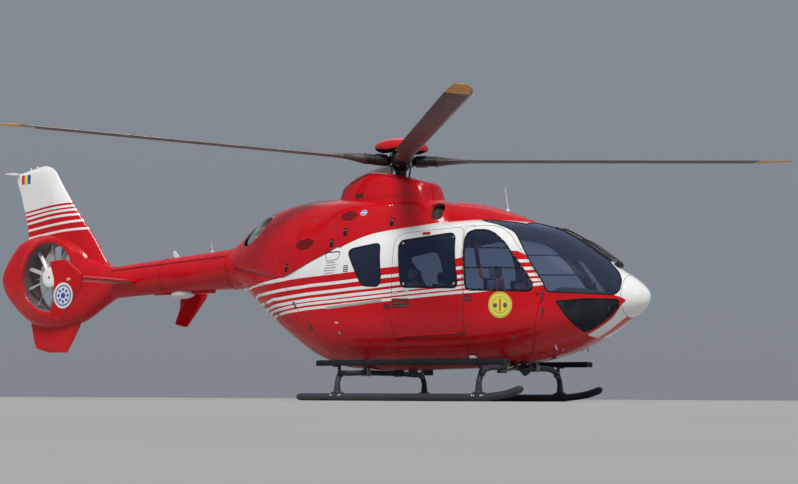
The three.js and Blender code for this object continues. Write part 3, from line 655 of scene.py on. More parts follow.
# Plain solids in mesh code
class Kit:
    """Collects points and faces of many small solids that become one object. Millimetres from the mast."""

    def __init__(self):
        self.p, self.f, self.s, self.smooth, self.names = [], [], [], [], []

    def add(self, p, f, mat, smooth=True):
        base = sum(len(q) for q in self.p)
        self.p.append(np.asarray(p, float))
        if mat not in self.names:
            self.names.append(mat)
        self.f += [[int(i) + base for i in face] for face in f]
        self.s += [self.names.index(mat)] * len(f)
        self.smooth += [smooth] * len(f)

    def rings(self, rings, mat, ends=True, closed=True, smooth=True, loop=False):
        """Tube through rings of equal length; loop joins the last ring to the first."""
        rings = np.asarray(rings, float)
        m, n = rings.shape[:2]
        f = []
        for i in range(m if loop else m - 1):
            for j in range(n if closed else n - 1):
                a, b = i * n + j, i * n + (j + 1) % n
                c, d = ((i + 1) % m) * n + j, ((i + 1) % m) * n + (j + 1) % n
                f.append((a, b, d, c))
        self.add(rings.reshape(-1, 3), f, mat, smooth)
        if ends and not loop and closed:
            self.add(rings[0], [range(n)[::-1]], mat, False)
            self.add(rings[-1], [range(n)], mat, False)

    def box(self, x0, x1, y0, y1, z0, z1, mat, bevel=4.0):
        """Box with softened edges."""
        b = min(bevel, 0.45 * min(x1 - x0, y1 - y0, z1 - z0))
        outline = [(x0 + b, y0), (x1 - b, y0), (x1, y0 + b), (x1, y1 - b), (x1 - b, y1), (x0 + b, y1),
                   (x0, y1 - b), (x0, y0 + b)]
        inner = [(min(max(x, x0 + b), x1 - b), min(max(y, y0 + b), y1 - b)) for x, y in outline]
        levels = ((inner, z0), (outline, z0 + b), (outline, z1 - b), (inner, z1))
        self.rings([[(x, y, z) for x, y in ring] for ring, z in levels], mat, smooth=False)

    def block(self, centre, half, mat, bevel=4.0):
        """Box given by its centre and half sizes."""
        (x, y, z), (a, b, c) = centre, half
        self.box(x - a, x + a, y - b, y + b, z - c, z + c, mat, bevel)

    def plate(self, outline, levels, mat):
        """Upright plate: an outline of x and z, set at each y and pushed outwards by the amount beside it."""
        self.rings([[(x, y, z) for x, z in grown(outline, g)] for y, g in levels], mat)

    def tube(self, path, radius, mat, sides=12, ends=True, flat=1.0, up=(0, 0, 1), loop=False):
        """Round or flattened tube along a path; radius may change along it."""
        path = np.asarray(path, float)
        r = np.broadcast_to(np.asarray(radius, float), len(path))
        d = direction(path, loop)
        a = turns(sides)[:, None]
        rings = []
        u = np.asarray(up, float)
        for i in range(len(path)):
            side = np.cross(d[i], u)
            if np.linalg.norm(side) < 1e-3:
                side = np.cross(d[i], (0, 1, 0) if abs(d[i][1]) < 0.9 else (1, 0, 0))
            side /= np.linalg.norm(side)
            top = np.cross(side, d[i])
            u = u if loop else top
            rings.append(path[i] + r[i] * (np.cos(a) * side + flat * np.sin(a) * top))
        self.rings(rings, mat, ends=ends, loop=loop)

    def rod(self, a, b, r, mat, r1=None, sides=14, bevel=0.0):
        """Rod from a to b, whose radius goes from r to r1."""
        a, b = np.asarray(a, float), np.asarray(b, float)
        r1 = r if r1 is None else r1
        if bevel:
            d = (b - a) / np.linalg.norm(b - a)
            self.tube([a, a + d * 0.01, a + d * bevel, b - d * bevel, b - d * 0.01, b],
                      [r - bevel, r - bevel, r, r1, r1 - bevel, r1 - bevel], mat, sides)
        else:
            self.tube([a, b], [r, r1], mat, sides)

    def lathe(self, profile, origin, axis, mat, sides=32):
        """Turned body: profile as radius, height along the axis."""
        q = Vector((0, 0, 1)).rotation_difference(Vector(axis).normalized()).to_matrix()
        a = turns(sides)
        self.rings([np.stack([np.cos(a) * r, np.sin(a) * r, np.full(sides, h)], 1) @ np.array(q).T + origin
                    for r, h in profile], mat)

    def ball(self, c, r, mat, sides=14, squash=(1, 1, 1)):
        a = turns(sides)
        rings = []
        for t in [-PI / 2 + PI * i / 8 for i in range(1, 8)]:
            flat_ring = [np.cos(a) * math.cos(t), np.sin(a) * math.cos(t), np.full(sides, math.sin(t))]
            ring = np.stack(flat_ring, 1)
            rings.append(ring * r * np.array(squash) + c)
        self.rings(rings, mat)

    def sheet(self, blocks, names):
        for p, _, f, s in blocks:
            for k in np.unique(s):
                self.add(p, f[s == k], names[k])

    def mirror(self):
        """Adds the mirror image of everything so far."""
        base = sum(len(q) for q in self.p)
        self.p.append(np.concatenate(self.p) * [1, -1, 1])
        self.f += [[v + base for v in reversed(face)] for face in self.f]
        self.s += self.s
        self.smooth += self.smooth

    def make(self, name, body, slot, replace=(), mirror=False, angle=35):
        points, faces = np.concatenate(self.p), self.f
        if mirror:
            points, faces = points * [1, -1, 1], [f[::-1] for f in faces]
        mesh = new_mesh(name, points, faces, self.names, self.s, self.smooth)
        mesh.set_sharp_from_angle(angle=math.radians(angle))
        return put(bpy.data.objects.new(name, mesh), body, replace)


class Trim(Kit):
    """A kit of pieces that lie on one hull's right-hand side, placed by station and height."""

    def __init__(self, hull):
        super().__init__()
        self.hull = hull

    def around(self, x, z):
        """Maps millimetres forward and up along the surface from a point of it to stations and angles."""
        hull = self.hull
        t = float(hull.t_of(x, z))
        angles = np.linspace(-PI / 2, PI / 2, 721)
        p = hull.raw(np.full(721, float(x)), angles)
        run = np.concatenate([[0], np.cumsum(np.linalg.norm(np.diff(p, axis=0), axis=1))])
        ahead, behind = (hull.raw(np.array(x + d), np.array(t)) for d in (5.0, -5.0))
        stretch = np.linalg.norm(ahead - behind) / 10
        here = np.interp(t, angles, run)
        return lambda u, v: (x + np.asarray(u, float) / stretch,
                             np.interp(here + np.asarray(v, float), run, angles))

    def patch(self, x, z, outline, mat, lift=1.5, thick=3.0, step=18.0):
        """Thin plate that follows the hull, with its outline in millimetres round the point."""
        o = np.asarray(outline, float)
        lo, hi = o.min(0), o.max(0)
        nx, ny = (max(2, int(size / step)) for size in hi - lo)
        gx, gy = np.meshgrid(np.linspace(lo[0], hi[0], nx + 1)[1:-1], np.linspace(lo[1], hi[1], ny + 1)[1:-1])
        g = np.stack([gx.ravel(), gy.ravel()], 1)
        v, f = triangulate([o], [], g[inside(o, g)], step * 0.3)
        f = f[inside(o, v[f].mean(1))]
        xs, ts = self.around(x, z)(v[:, 0], v[:, 1])
        p, n = self.hull.at(xs, ts, lift), self.hull.normal(xs, ts)
        f = facing(p, f, n[f].mean(1))
        self.sheet(*solid_sheet(p, n, f, np.zeros(len(f), int), [mat], thick, False, mat, mat))

    def strip(self, x, t, width, height, mat, closed=False, lift=0.0, sides=8):
        """Raised rounded strip along a line of stations and angles."""
        p, n = self.hull.at(x, t, lift), self.hull.normal(x, t)
        across = np.cross(n, direction(p, closed))
        self.rings(np.stack([p + across * (math.cos(a) * width / 2) + n * (math.sin(a) * height)
                             for a in turns(sides)], 1), mat, ends=not closed, loop=closed)

    def surround(self, outline, width, height, mat="rubber"):
        """Strip round a closed outline of stations and heights."""
        q = np.asarray(outline, float)
        self.strip(q[:, 0], self.hull.t_of(q[:, 0], q[:, 1]), width, height, mat, True)

    def bead(self, line, step, width, height, mat, lift=0.0, sides=8):
        """Strip along an open line of stations and heights."""
        q = polyline(line, step)
        self.strip(q[:, 0], self.hull.t_of(q[:, 0], q[:, 1]), width, height, mat, False, lift, sides)

    def seam(self, line, width=5.0, height=1.2):
        self.bead(line, 18, width, height, "red_dull", sides=6)

    def stud(self, x, z, r, h, mat, lift=0.0, sides=8):
        p, n = self.hull.spot(x, self.hull.t_of(np.array(float(x)), np.array(float(z))), lift)
        self.lathe([(r, -1.0), (r, h * 0.45), (r * 0.62, h)], p, n, mat, sides)

    def fasteners(self, stations, height, r, h):
        """A row of small studs, at one height or at a height worked out for each station."""
        for x in stations:
            self.stud(x, height(x) if callable(height) else height, r, h, "red_dull", sides=6)

    def latch(self, x, z, skew):
        half, high = 20, 50
        self.patch(x, z, rect(half + 4, high + 4, 6, skew), "red_dull", 0.8, 2)
        self.patch(x, z, rect(half, high, 4, skew), "rubber", 1.6, 2)
        self.patch(x + 2, z + high * 0.42, rect(half * 0.5, high * 0.2, 3), "steel", 4.5, 4)
        self.patch(x, z - high * 0.35, rect(half * 0.7, high * 0.42, 3), "rubber", 4.0, 4)

    def louvre(self, x, z, a, b, slope, rows=5):
        """Oval field of slots, each with a lip above it; each slot is a raised near-black strip that paints
        the shade inside the opening.
        """
        place = self.around(x, z)
        pitch = 2 * b / rows
        for i in range(rows):
            dz = (i - (rows - 1) / 2) * pitch
            half = a * math.sqrt(max(0.08, 1 - (dz / b) ** 2))
            u = np.linspace(-half, half, 12)
            bow = dz + slope * u + 5 * (1 - (u / half) ** 2)
            taper = np.sqrt(np.maximum(1 - (u / half) ** 2 * 0.85, 0.02))[:, None]
            # the slot: a near-black strip that paints the shade inside the opening
            self.strip(*place(u, bow), pitch * 0.56, 3.0 * taper, "rubber", lift=0.6)
            self.strip(*place(u, bow + pitch * 0.5), pitch * 0.36, 3.4 * taper, "red_tail")

    def knuckles(self, hinge, of_door):
        """The parts of a hinge that belong to the door, or those of the frame."""
        at, along, places = hinge
        at, along = np.array(at, float), np.array(along, float)
        for place in places:
            for a, b in ([(-15, 15)] if of_door else [(-45, -16), (16, 45)]):
                self.rod(at + along * (place + a), at + along * (place + b), 9, "gear_grey", sides=12,
                         bevel=2)

    def skin(self, skin, mask, mat, thick):
        self.sheet(*skin.part(mask, np.zeros(len(mask), int), [mat], thick, both=True))

    def end_cap(self, x, t_low, facing_forward, mat):
        """Flat wall that closes the hull's end above an angle."""
        t = np.linspace(t_low, PI / 2, 26)
        p = self.hull.raw(np.full(26, float(x)), t)
        ring = np.concatenate([p, (p * [1, -1, 1])[::-1][1:]])
        order = list(range(len(ring)))
        self.add(ring, [order if facing_forward else order[::-1]], mat, False)

    def loft(self, xs, sides, mat):
        """The hull's whole body through the stations xs."""
        t = np.linspace(-PI / 2, PI / 2, sides // 2 + 1)
        self.rings([both_sides(self.hull.raw(np.full(len(t), float(x)), t)) for x in xs], mat)


def level(hull, q):
    """Below 0 inside the hull, above 0 outside."""
    b, top, h, m, lo, hi = (f(np.clip(q[:, 0], hull.x0, hull.x1)) for f in hull.c)
    up = q[:, 2] >= m
    n = np.where(up, hi, lo)
    reach = np.maximum(np.where(up, top - m, m - b), 1)
    f = (np.abs(q[:, 1]) / np.maximum(h, 1))**n + (np.abs(q[:, 2] - m) / reach)**n - 1
    return np.where((q[:, 0] < hull.x0) | (q[:, 0] > hull.x1), 1.0, f)


def meet(hull, other, x, start=1.5, stop=-1.5, sink=0.0):
    """Angle on hull where its surface, followed down from the top, goes into the other body."""
    t = np.linspace(start, stop, 400)
    f = level(other, hull.raw(np.full(len(t), float(x)), t) + [0, 0, sink])
    i = np.where(f < 0)[0]
    return float(t[i[0]]) if len(i) else stop


# Fuselage
class LeaningHull(Hull):
    """A hull with flat sides that lean inwards, so its top is narrower by the share lean."""

    def __init__(self, rows, girth, lean):
        super().__init__(rows, girth)
        self.lean = lean

    def raw(self, x, t):
        p = super().raw(x, t)
        top, m = self.c[1](x), self.c[3](x)
        rise = np.clip((p[..., 2] - m) / (top - m), 0, 1)
        p[..., 1] *= 1 - self.lean * rise
        return p

    def t_at_y(self, x, y, side=1):
        t = np.linspace(0, side * PI / 2, 400)
        breadth = [-self.raw(np.full(400, float(a)), t)[:, 1] for a in np.atleast_1d(x)]
        wanted = np.broadcast_to(y, len(breadth))
        found = [np.interp(b, line[::-1], t[::-1]) for b, line in zip(wanted, breadth)]
        return np.array(found) if np.ndim(x) else found[0]


FUSELAGE = Hull([
    [-2600, 1490, 2055, 285, 1775, 2.0, 2.0], [-2400, 1430, 2060, 320, 1740, 2.0, 2.2],
    [-2000, 1160, 2080, 470, 1600, 2.2, 2.4], [-1500, 800, 2110, 650, 1430, 2.3, 2.7],
    [-1000, 520, 2150, 740, 1300, 2.5, 3.0], [-600, 410, 2180, 775, 1220, 2.7, 3.2],
    [0, 380, 2220, 780, 1180, 2.7, 3.3], [1200, 400, 2230, 780, 1150, 2.7, 3.1],
    [1850, 460, 2170, 770, 1130, 2.6, 2.8], [2250, 540, 2070, 730, 1120, 2.4, 2.5],
    [2600, 660, 1895, 640, 1120, 2.3, 2.3], [2900, 800, 1695, 490, 1150, 2.2, 2.1],
    [3100, 920, 1540, 350, 1180, 2.1, 2.0], [3260, 1010, 1440, 240, 1200, 2.0, 2.0],
    [3360, 1080, 1360, 150, 1210, 2.0, 2.0], [3420, 1140, 1300, 60, 1215, 2.0, 2.0],
])
COWL = Hull([
    [-2560, 1700, 2090, 275, 1780, 2.0, 2.0], [-2350, 1650, 2230, 360, 1760, 2.2, 2.2],
    [-2100, 1600, 2370, 465, 1740, 2.2, 2.4], [-1800, 1500, 2495, 575, 1700, 2.2, 2.5],
    [-1450, 1450, 2565, 672, 1600, 2.2, 2.6], [-1100, 1450, 2600, 720, 1600, 2.2, 2.6],
    [-700, 1500, 2595, 722, 1650, 2.2, 2.7], [-400, 1550, 2585, 675, 1700, 2.2, 2.8],
    [0, 1600, 2570, 600, 1700, 2.2, 2.8], [430, 1650, 2545, 535, 1750, 2.2, 2.8],
    [700, 1650, 2490, 490, 1750, 2.2, 2.7], [830, 1650, 2420, 455, 1750, 2.2, 2.6],
    [930, 1650, 2330, 410, 1750, 2.2, 2.5],
])
COWL_EDGE = [(-2560, 1790), (-2100, 1700), (-1700, 1600), (-1394, 1556), (-1088, 1672), (-693, 1839),
             (-405, 1985), (19, 2115), (430, 2180), (930, 2184)]
ROOF = Hull([
    [945, 1700, 2470, 430, 2000, 2.0, 2.2], [1272, 1700, 2405, 390, 2000, 2.0, 2.2],
    [1641, 1700, 2290, 330, 2000, 2.0, 2.1], [1860, 1700, 2205, 250, 1980, 2.0, 2.0],
    [1990, 1700, 2140, 150, 1950, 2.0, 2.0],
], 400)
MAST = LeaningHull([
    [-870, 2300, 2560, 170, 2310, 2.0, 3.6], [-820, 2300, 2686, 240, 2310, 2.0, 4.0],
    [-770, 2300, 2770, 282, 2310, 2.0, 4.6], [-690, 2300, 2806, 318, 2310, 2.0, 5.0],
    [-600, 2300, 2836, 344, 2310, 2.0, 5.6],
    [-440, 2300, 2886, 362, 2310, 2.0, 6.4], [-320, 2300, 2912, 368, 2310, 2.0, 7.0],
    [-200, 2300, 2898, 371, 2310, 2.0, 7.0], [170, 2300, 2814, 372, 2310, 2.0, 7.0],
    [380, 2300, 2762, 362, 2310, 2.0, 6.4], [450, 2300, 2740, 344, 2310, 2.0, 5.4],
    [500, 2300, 2690, 310, 2310, 2.0, 4.4], [536, 2300, 2580, 252, 2310, 2.0, 3.8],
    [560, 2300, 2500, 184, 2310, 2.0, 3.4],
], 420, 0.27)
BOOM = Hull([
    [-4850, 1425, 1880, 166, 1660, 2.2, 2.2], [-4500, 1445, 1908, 180, 1685, 2.1, 2.1],
    [-3920, 1470, 1955, 205, 1720, 2.0, 2.0], [-3100, 1490, 2015, 250, 1755, 2.0, 2.0],
    [-2600.5, 1490, 2055, 285, 1775, 2.0, 2.0],
], 330)
FLARE = Hull([
    [-5560, 1080, 2150, 188, 1740, 2.6, 2.6], [-5400, 1130, 2070, 186, 1720, 2.6, 2.6],
    [-5150, 1260, 1985, 178, 1700, 2.4, 2.4], [-4850.5, 1425, 1880, 166, 1660, 2.2, 2.2],
], 450)
GIRTH = FUSELAGE.girth

SLIDING_DOOR = rounded([(365, 516), (1378, 516), (1378, 1300), (1330, 1860), (1290, 2060), (1200, 2098),
                        (480, 2062), (400, 2030), (352, 1960), (365, 1650)],
                       [30, 30, 400, 400, 90, 90, 200, 200, 200, 400])
CREW_DOOR = rounded([(1390, 520), (2130, 560), (2262, 747), (2400, 1215), (2408, 1290), (2385, 1372),
                     (2150, 1715), (1930, 1960), (1800, 2050), (1640, 2105), (1300, 2100), (1303, 2060),
                     (1342, 1860), (1390, 1300)],
                    [30, 250, 250, 300, 300, 300, 900, 500, 500, 400, 20, 200, 400, 400])
SLIDING_WINDOW = rounded([(430, 1898), (447, 1945), (470, 1958), (1090, 2020), (1140, 2018), (1196, 1967),
                          (1293, 1420), (1285, 1370), (1250, 1357), (555, 1385), (515, 1400),
                          (500, 1446)], 400)
CREW_WINDOW = rounded([(1345, 1955), (1362, 2022), (1430, 2050), (1588, 2044), (1710, 1992), (1873, 1872),
                       (2042, 1683), (2211, 1472), (2277, 1372), (2280, 1320), (2248, 1291), (1475, 1325),
                       (1425, 1345), (1412, 1400)], 400)
QUARTER_WINDOW = rounded([(-308, 1833), (-300, 1868), (-262, 1890), (70, 1937), (120, 1930), (144, 1887),
                          (199, 1522), (190, 1440), (150, 1408), (-20, 1415), (-80, 1440), (-124, 1510)], 400)
CHIN_WINDOW = rounded([(2560, 1160), (2868, 1190), (3150, 1184), (3184, 1168), (3170, 1090), (3045, 966),
                       (2874, 852), (2776, 808)], [16, 900, 60, 60, 300, 900, 300, 18])
CLAM_EDGE = rounded([(-500, 200), (-600, 520), (-880, 900), (-1165, 1236), (-1270, 1420), (-1480, 1500),
                     (-2585, 1500), (-2585, 200)], [10, 200, 400, 500, 250, 200, 20, 20])
CREW_HINGE = ([2414, -712, 1130], [0, 0, 1], (-75, 95))
CLAM_HINGE = ([-1022, -722, 1068], [-0.64, 0, 0.768], (-190, 190))

WHITE_TOP = [(-2174, 1469), (-2034, 1497), (-1882, 1516), (-1743, 1531), (-1611, 1544), (-1491, 1557),
             (-1398, 1572)]
WHITE_LOW = [(-2194, 1454), (-2041, 1468), (-1883, 1483), (-1740, 1495), (-1486, 1513), (-1263, 1533),
             (-1053, 1548), (-850, 1559), (-656, 1569), (-289, 1592), (242, 1628), (416, 1637), (898, 1669),
             (1270, 1701), (2059, 1766)]
STRIPES = [
    (39, [(-1977, 1353), (-1741, 1376), (-1477, 1399), (-1253, 1418), (-1041, 1432), (-839, 1448),
          (-644, 1457), (-278, 1481), (254, 1520), (428, 1528), (1313, 1584), (2145, 1643), (2330, 1658)]),
    (39, [(-1904, 1248), (-1607, 1284), (-1476, 1296), (-1246, 1315), (-1034, 1332), (-831, 1346),
          (-637, 1357), (-271, 1381), (86, 1400), (436, 1426), (1322, 1482), (2209, 1551), (2400, 1568)]),
    (39, [(-1824, 1173), (-1639, 1195), (-1484, 1217), (-1244, 1239), (-1030, 1256), (-826, 1271),
          (-632, 1280), (-266, 1307), (90, 1328), (440, 1353), (698, 1369), (1328, 1405), (2278, 1477),
          (2450, 1492)]),
    (33, [(-1698, 1126), (-1500, 1155), (-1245, 1187), (-1028, 1206), (-824, 1220), (-629, 1230),
          (-263, 1253), (93, 1275), (443, 1298), (701, 1313), (1040, 1332), (1331, 1349), (2321, 1414),
          (2480, 1426)]),
    (35, [(-1620, 1078), (-1423, 1106), (-1250, 1128), (-1027, 1147), (-821, 1161), (-626, 1171),
          (-260, 1195), (96, 1220), (445, 1244), (704, 1260), (1042, 1280), (1334, 1294), (1484, 1300),
          (1713, 1312), (2100, 1340), (2360, 1363), (2500, 1374)]),
]

TOP = PI / 2 * GIRTH
AFT, FORE = -2600, 3200
GLAZING = {"sliding_window": "glass_door", "crew_window": "glass_door", "quarter_window": "glass_dark",
           "windscreen": "glass_screen", "chin_window": "glass_chin"}


def flat(points):
    """Stations and heights on the fuselage side as points of its flat map."""
    q = np.asarray(points, float)
    return np.stack([q[:, 0], FUSELAGE.t_of(q[:, 0], q[:, 1]) * GIRTH], 1)


def by_breadth(x, y, side=1):
    """Stations and distances from the middle, above or below, as points of the flat map."""
    return np.stack([x, FUSELAGE.t_at_y(x, y, side) * GIRTH], 1)


def run_under(line, x_end, pull=0.45):
    """Carries a line in the flat map on, round the underside, to the middle below."""
    x, v = line[0]
    start = [(x_end, -TOP), (x + (x_end - x) * 0.66, v + (-TOP - v) * pull)]
    return np.concatenate([start, line])


def stripe(width, points):
    """Outline in the flat map of a stripe whose width is in real millimetres."""
    q = spline(run_under(flat(points), points[0][0] - 200))
    x, t = q[:, 0], np.clip(q[:, 1] / GIRTH, -PI / 2, PI / 2)
    e = 0.004
    above = FUSELAGE.raw(x, np.minimum(t + e, PI / 2))
    below = FUSELAGE.raw(x, np.maximum(t - e, -PI / 2))
    reach = np.linalg.norm(above - below, axis=1) / (2 * e)
    d = width / 2 / np.maximum(reach, 300) * GIRTH
    half = np.stack([0 * d, d], 1)
    return np.concatenate([q + half, (q - half)[::-1]])


def windscreen_loop(grow=0.0):
    side = spline([(1452, 2172), (1700, 2108), (1935, 2010), (2062, 1880), (2170, 1725), (2410, 1385)])
    front = rounded_open([(2410, 1385), (2452, 1275), (2770, 1257), (3050, 1243), (3140, 1236), (3186, 1290),
                          (3184, 1400), (3120, 1498), (3028, 1581)])
    x = np.arange(2980, 1984, -20.0)
    post = by_breadth(x, np.interp(x, [1985, 2400, 2700, 2850, 3000], [34, 34, 38, 50, 84]))
    back = by_breadth(np.full(9, 1985.0), np.linspace(60, 300, 9))
    x = np.arange(1965, 1452, -20.0)
    roof = by_breadth(x, np.interp(x, [1450, 1960], [310, 300]))
    loop = np.concatenate([flat(np.concatenate([side, front])), post, back, roof])
    return grown(loop, grow) if grow else loop


def clam_loop(grow):
    """A clamshell door's edge in the flat map; the door itself stops just short of the middle."""
    f = flat(polyline(grown(CLAM_EDGE, grow), 16, True))
    f[:, 0] = np.maximum(f[:, 0], FUSELAGE.x0)
    if grow < 0:
        f[:, 1] = np.maximum(f[:, 1], FUSELAGE.t_at_y(f[:, 0], 4.5, -1) * GIRTH)
    return f


def white_area():
    loop = np.concatenate([run_under(flat(WHITE_LOW), -2420, 0.35),
                           flat([(2300, 1650), (3060, 1262), (3110, 1243), (FORE, 1210)]),
                           [(FORE, TOP), (-1398, TOP)],
                           run_under(flat(WHITE_TOP), -2470, 0.35)[::-1]])
    return polyline(np.clip(loop, [AFT, -TOP], [FORE, TOP]), 16, True)


def chin_band():
    x = np.linspace(2800, FORE, 26)
    inner_edge = by_breadth(x, np.interp(x, [2800, FORE], [64, 106]), -1)
    outer_edge = spline(flat([(FORE, 1112), (3168, 1068), (3076, 970), (2951, 878), (2778, 779)]))
    return polyline(np.concatenate([outer_edge, inner_edge]), 16, True)


def is_dark(m):
    """Which points of the flat map are on the post between the windscreens or the wedge behind them."""
    post = (m[:, 0] > 2100) & (m[:, 0] < 2970) & (m[:, 1] > FUSELAGE.t_at_y(m[:, 0], 190.0) * GIRTH)
    wedge = np.concatenate([by_breadth(np.array([1285.0, 1452.0]), np.array([331.0, 318.0])),
                            flat([(1458, 2168), (1370, 2193)])])
    return post | inside(polyline(wedge, 16, True), m)


def make_fuselage():
    painted = [white_area(), chin_band(), *(stripe(*s) for s in STRIPES)]
    doors = {"clamshell": [clam_loop(2.2), clam_loop(-2.2)],
             "sliding": [flat(grown(SLIDING_DOOR, g)) for g in (2.5, -2.5)],
             "crew": [flat(grown(CREW_DOOR, g)) for g in (2.2, -2.2)]}
    windows = {"sliding_window": flat(SLIDING_WINDOW), "crew_window": flat(CREW_WINDOW),
               "quarter_window": flat(QUARTER_WINDOW), "windscreen": windscreen_loop(),
               "chin_window": flat(CHIN_WINDOW)}
    loops = painted + [edge for pair in doors.values() for edge in pair] + list(windows.values())
    skin = Skin(FUSELAGE, loops, step=38, x0=AFT, x1=FORE)
    m = skin.mid
    paint = np.zeros(len(m), int)
    for loop in painted:
        paint[inside(loop, m)] = 1
    pane = {k: inside(loop, m) for k, loop in windows.items()}
    opening = {k: inside(pair[0], m) for k, pair in doors.items()}
    leaf = {k: inside(pair[1], m) for k, pair in doors.items()}
    shell = ~(opening["sliding"] | opening["crew"] | opening["clamshell"])
    shell &= ~(pane["quarter_window"] | pane["windscreen"] | pane["chin_window"])
    whole = skin.part(shell, np.where(is_dark(m), 2, paint), ["red", "white", "rubber"], 34, both=True)
    make_object("fuselage_shell", *whole, "airframe", "red_paint", ["cabin_shell"])
    for side, flip in SIDES:
        crew, clam = f"crew_door_{side}", f"clamshell_door_{side}"
        for name, node_name, body, mask, thick in (
                (f"sliding_door_{side}_skin", f"sliding_door_{side}", "airframe",
                 leaf["sliding"] & ~pane["sliding_window"], 28),
                (f"{crew}_skin", crew, crew, leaf["crew"] & ~pane["crew_window"], 28),
                (f"clamshell_{side}_skin", clam, clam, leaf["clamshell"], 27)):
            make_object(name, *skin.part(mask, paint, ["red", "white"], thick), body, "red_paint",
                        [node_name], flip)
        for k, mask in pane.items():
            sunk = -5.0 if k in ("windscreen", "chin_window") else -2.5
            sheet = skin.part(mask, 0 * paint, [GLAZING[k]], 8, lift=sunk, inner="glass", wall="glass")
            make_object(f"{k}_{side}_pane", *sheet, crew if k == "crew_window" else "airframe",
                        "tinted_glass", [f"{k}_{side}"], flip)


# Engine deck
EXHAUST_DIR = np.array([-700.0, -220.0, -130.0])
EXHAUST_FROM = np.array([-1450.0, -180.0, 2330.0])
TILT = math.radians(2.3)
MAST_UP = np.array([math.sin(TILT), 0, math.cos(TILT)])
HUB = np.array([0, 0, 3040.0])
MAST_HOLE = 190.0
COWL_SPLIT = ([1800, 1897, 2433, 2560], [-440, -467, -625, -640])


def ring_on(hull, origin, axis, radius, n):
    """Where a cylinder through the right-hand surface cuts it, as x and angle pairs."""
    axis = np.asarray(Vector(axis).normalized())
    u = np.cross(axis, [0, 0, 1.0]) if abs(axis[2]) < 0.9 else np.array([1.0, 0, 0])
    u = u / np.linalg.norm(u)
    w = np.cross(axis, u)
    s = np.linspace(-900, 900, 361)
    out = []
    for a in turns(n):
        base = np.asarray(origin, float) + radius * (math.cos(a) * u + math.sin(a) * w)
        f = level(hull, base + s[:, None] * axis)
        i = np.where((f[:-1] < 0) & (f[1:] >= 0))[0]
        if not len(i):
            continue
        lo, hi = s[i[-1]], s[i[-1] + 1]
        for _ in range(30):
            mid = (lo + hi) / 2
            if level(hull, (base + mid * axis)[None])[0] < 0:
                lo = mid
            else:
                hi = mid
        p = base + lo * axis
        out.append((p[0], float(hull.t_of(p[0], p[2]))))
    return np.array(out)


def closed_above(hull, x, t):
    """Outline in the flat map of the part of a hull above the line x, t."""
    top = PI / 2 * hull.girth
    return np.concatenate([np.stack([x, t * hull.girth], 1), [(x[-1], top), (x[0], top)]])


def region_above(hull, low, step):
    """The angles low(x) along a hull, and the outline of the part above them."""
    x = np.linspace(hull.x0, hull.x1, int((hull.x1 - hull.x0) / step) + 2)
    t = np.array([low(float(a)) for a in x])
    return t, closed_above(hull, x, t)


def cowl_low(x):
    edge = float(COWL.t_of(x, np.interp(x, *zip(*COWL_EDGE))))
    c = meet(COWL, FUSELAGE, x, 1.4, -0.9)
    return max(c, edge) if x < -500 else max(c, edge - 0.12)


def make_cowls():
    g = COWL.girth
    _, region = region_above(COWL, cowl_low, 30)
    pipe = ring_on(COWL, EXHAUST_FROM + EXHAUST_DIR * 0.6, EXHAUST_DIR, 160, 56) * [1, g]
    intake = rounded([(648, 2400), (700, 2452), (770, 2440), (812, 2380), (842, 2226), (720, 2222)], 60, 14)
    intake = np.stack([intake[:, 0], COWL.t_of(intake[:, 0], intake[:, 1]) * g], 1)
    well_at = [(220 * math.cos(a) - 10, 220 * abs(math.sin(a))) for a in np.linspace(0, PI, 24)]
    well = spline([(x, float(COWL.t_at_y(x, y)) * g) for x, y in well_at], step=14)
    well = np.concatenate([well, [(well[-1][0], PI / 2 * g), (well[0][0], PI / 2 * g)]])
    t = np.linspace(-1.0, PI / 2, 90)
    split = np.interp(COWL.raw(np.full(90, -560.0), t)[:, 2], *COWL_SPLIT)
    cuts = [np.stack([split + d, t * g], 1) for d in (-2.2, 2.2)]
    skin = Skin(COWL, [polyline(region, 18, True), pipe, polyline(intake, 12, True), well], cuts, 34, t0=-1.0)
    m = skin.mid
    paint = np.zeros(len(m), int)
    ahead = m[:, 0] - np.interp(m[:, 1], t * g, split)
    on = inside(region, m) & ~inside(pipe, m) & ~inside(well, m)
    for side, flip in SIDES:
        make_object(f"engine_cowl_{side}_skin", *skin.part(on & (ahead <= -2.2), paint, ["red_tail"], 16),
                    "airframe", "red_paint", [f"engine_cowl_{side}"], flip)
    front = skin.part(on & (ahead > 2.2) & ~inside(intake, m), paint, ["red_tail"], 16, both=True)
    make_object("transmission_cowl_skin", *front, "airframe", "red_paint", ["transmission_cowl"])
    make_intakes(intake[::2])


def make_intakes(edge):
    """Throats with bars behind the two openings in the cowl's front; the inner half of each and the sheet
    that closes it are near black, painted shade of the duct beyond.
    """
    kit = Kit()
    front = COWL.at(edge[:, 0], edge[:, 1] / COWL.girth, -14.0)
    middle = front.mean(0)
    waist = (front - middle) * [0.72, 1, 0.9] + middle * [1, 0.9, 1] + [-14, 0, -4]
    back = (front - middle) * [0.55, 1, 0.84] + middle * [1, 0.7, 1] + [-36, 0, -8]
    kit.rings([front, waist], "red_tail", ends=False)
    # the inner half and the closing sheet are near black: painted shade of the duct beyond
    kit.rings([waist, back], "soot_and_shade", ends=False)
    n = len(back)
    kit.add(np.concatenate([back, [back.mean(0)]]), [(i, (i + 1) % n, n) for i in range(n)], "soot_and_shade", False)
    y = waist[:, 1].mean()
    for z in np.arange(2262, 2420, 30.0):
        kit.rod([704, y + 30, z], [772, y + 26, z - 2], 2.4, "dark_trim", sides=6)
    kit.mirror()
    kit.make("side_intakes", "airframe", "dark_trim")


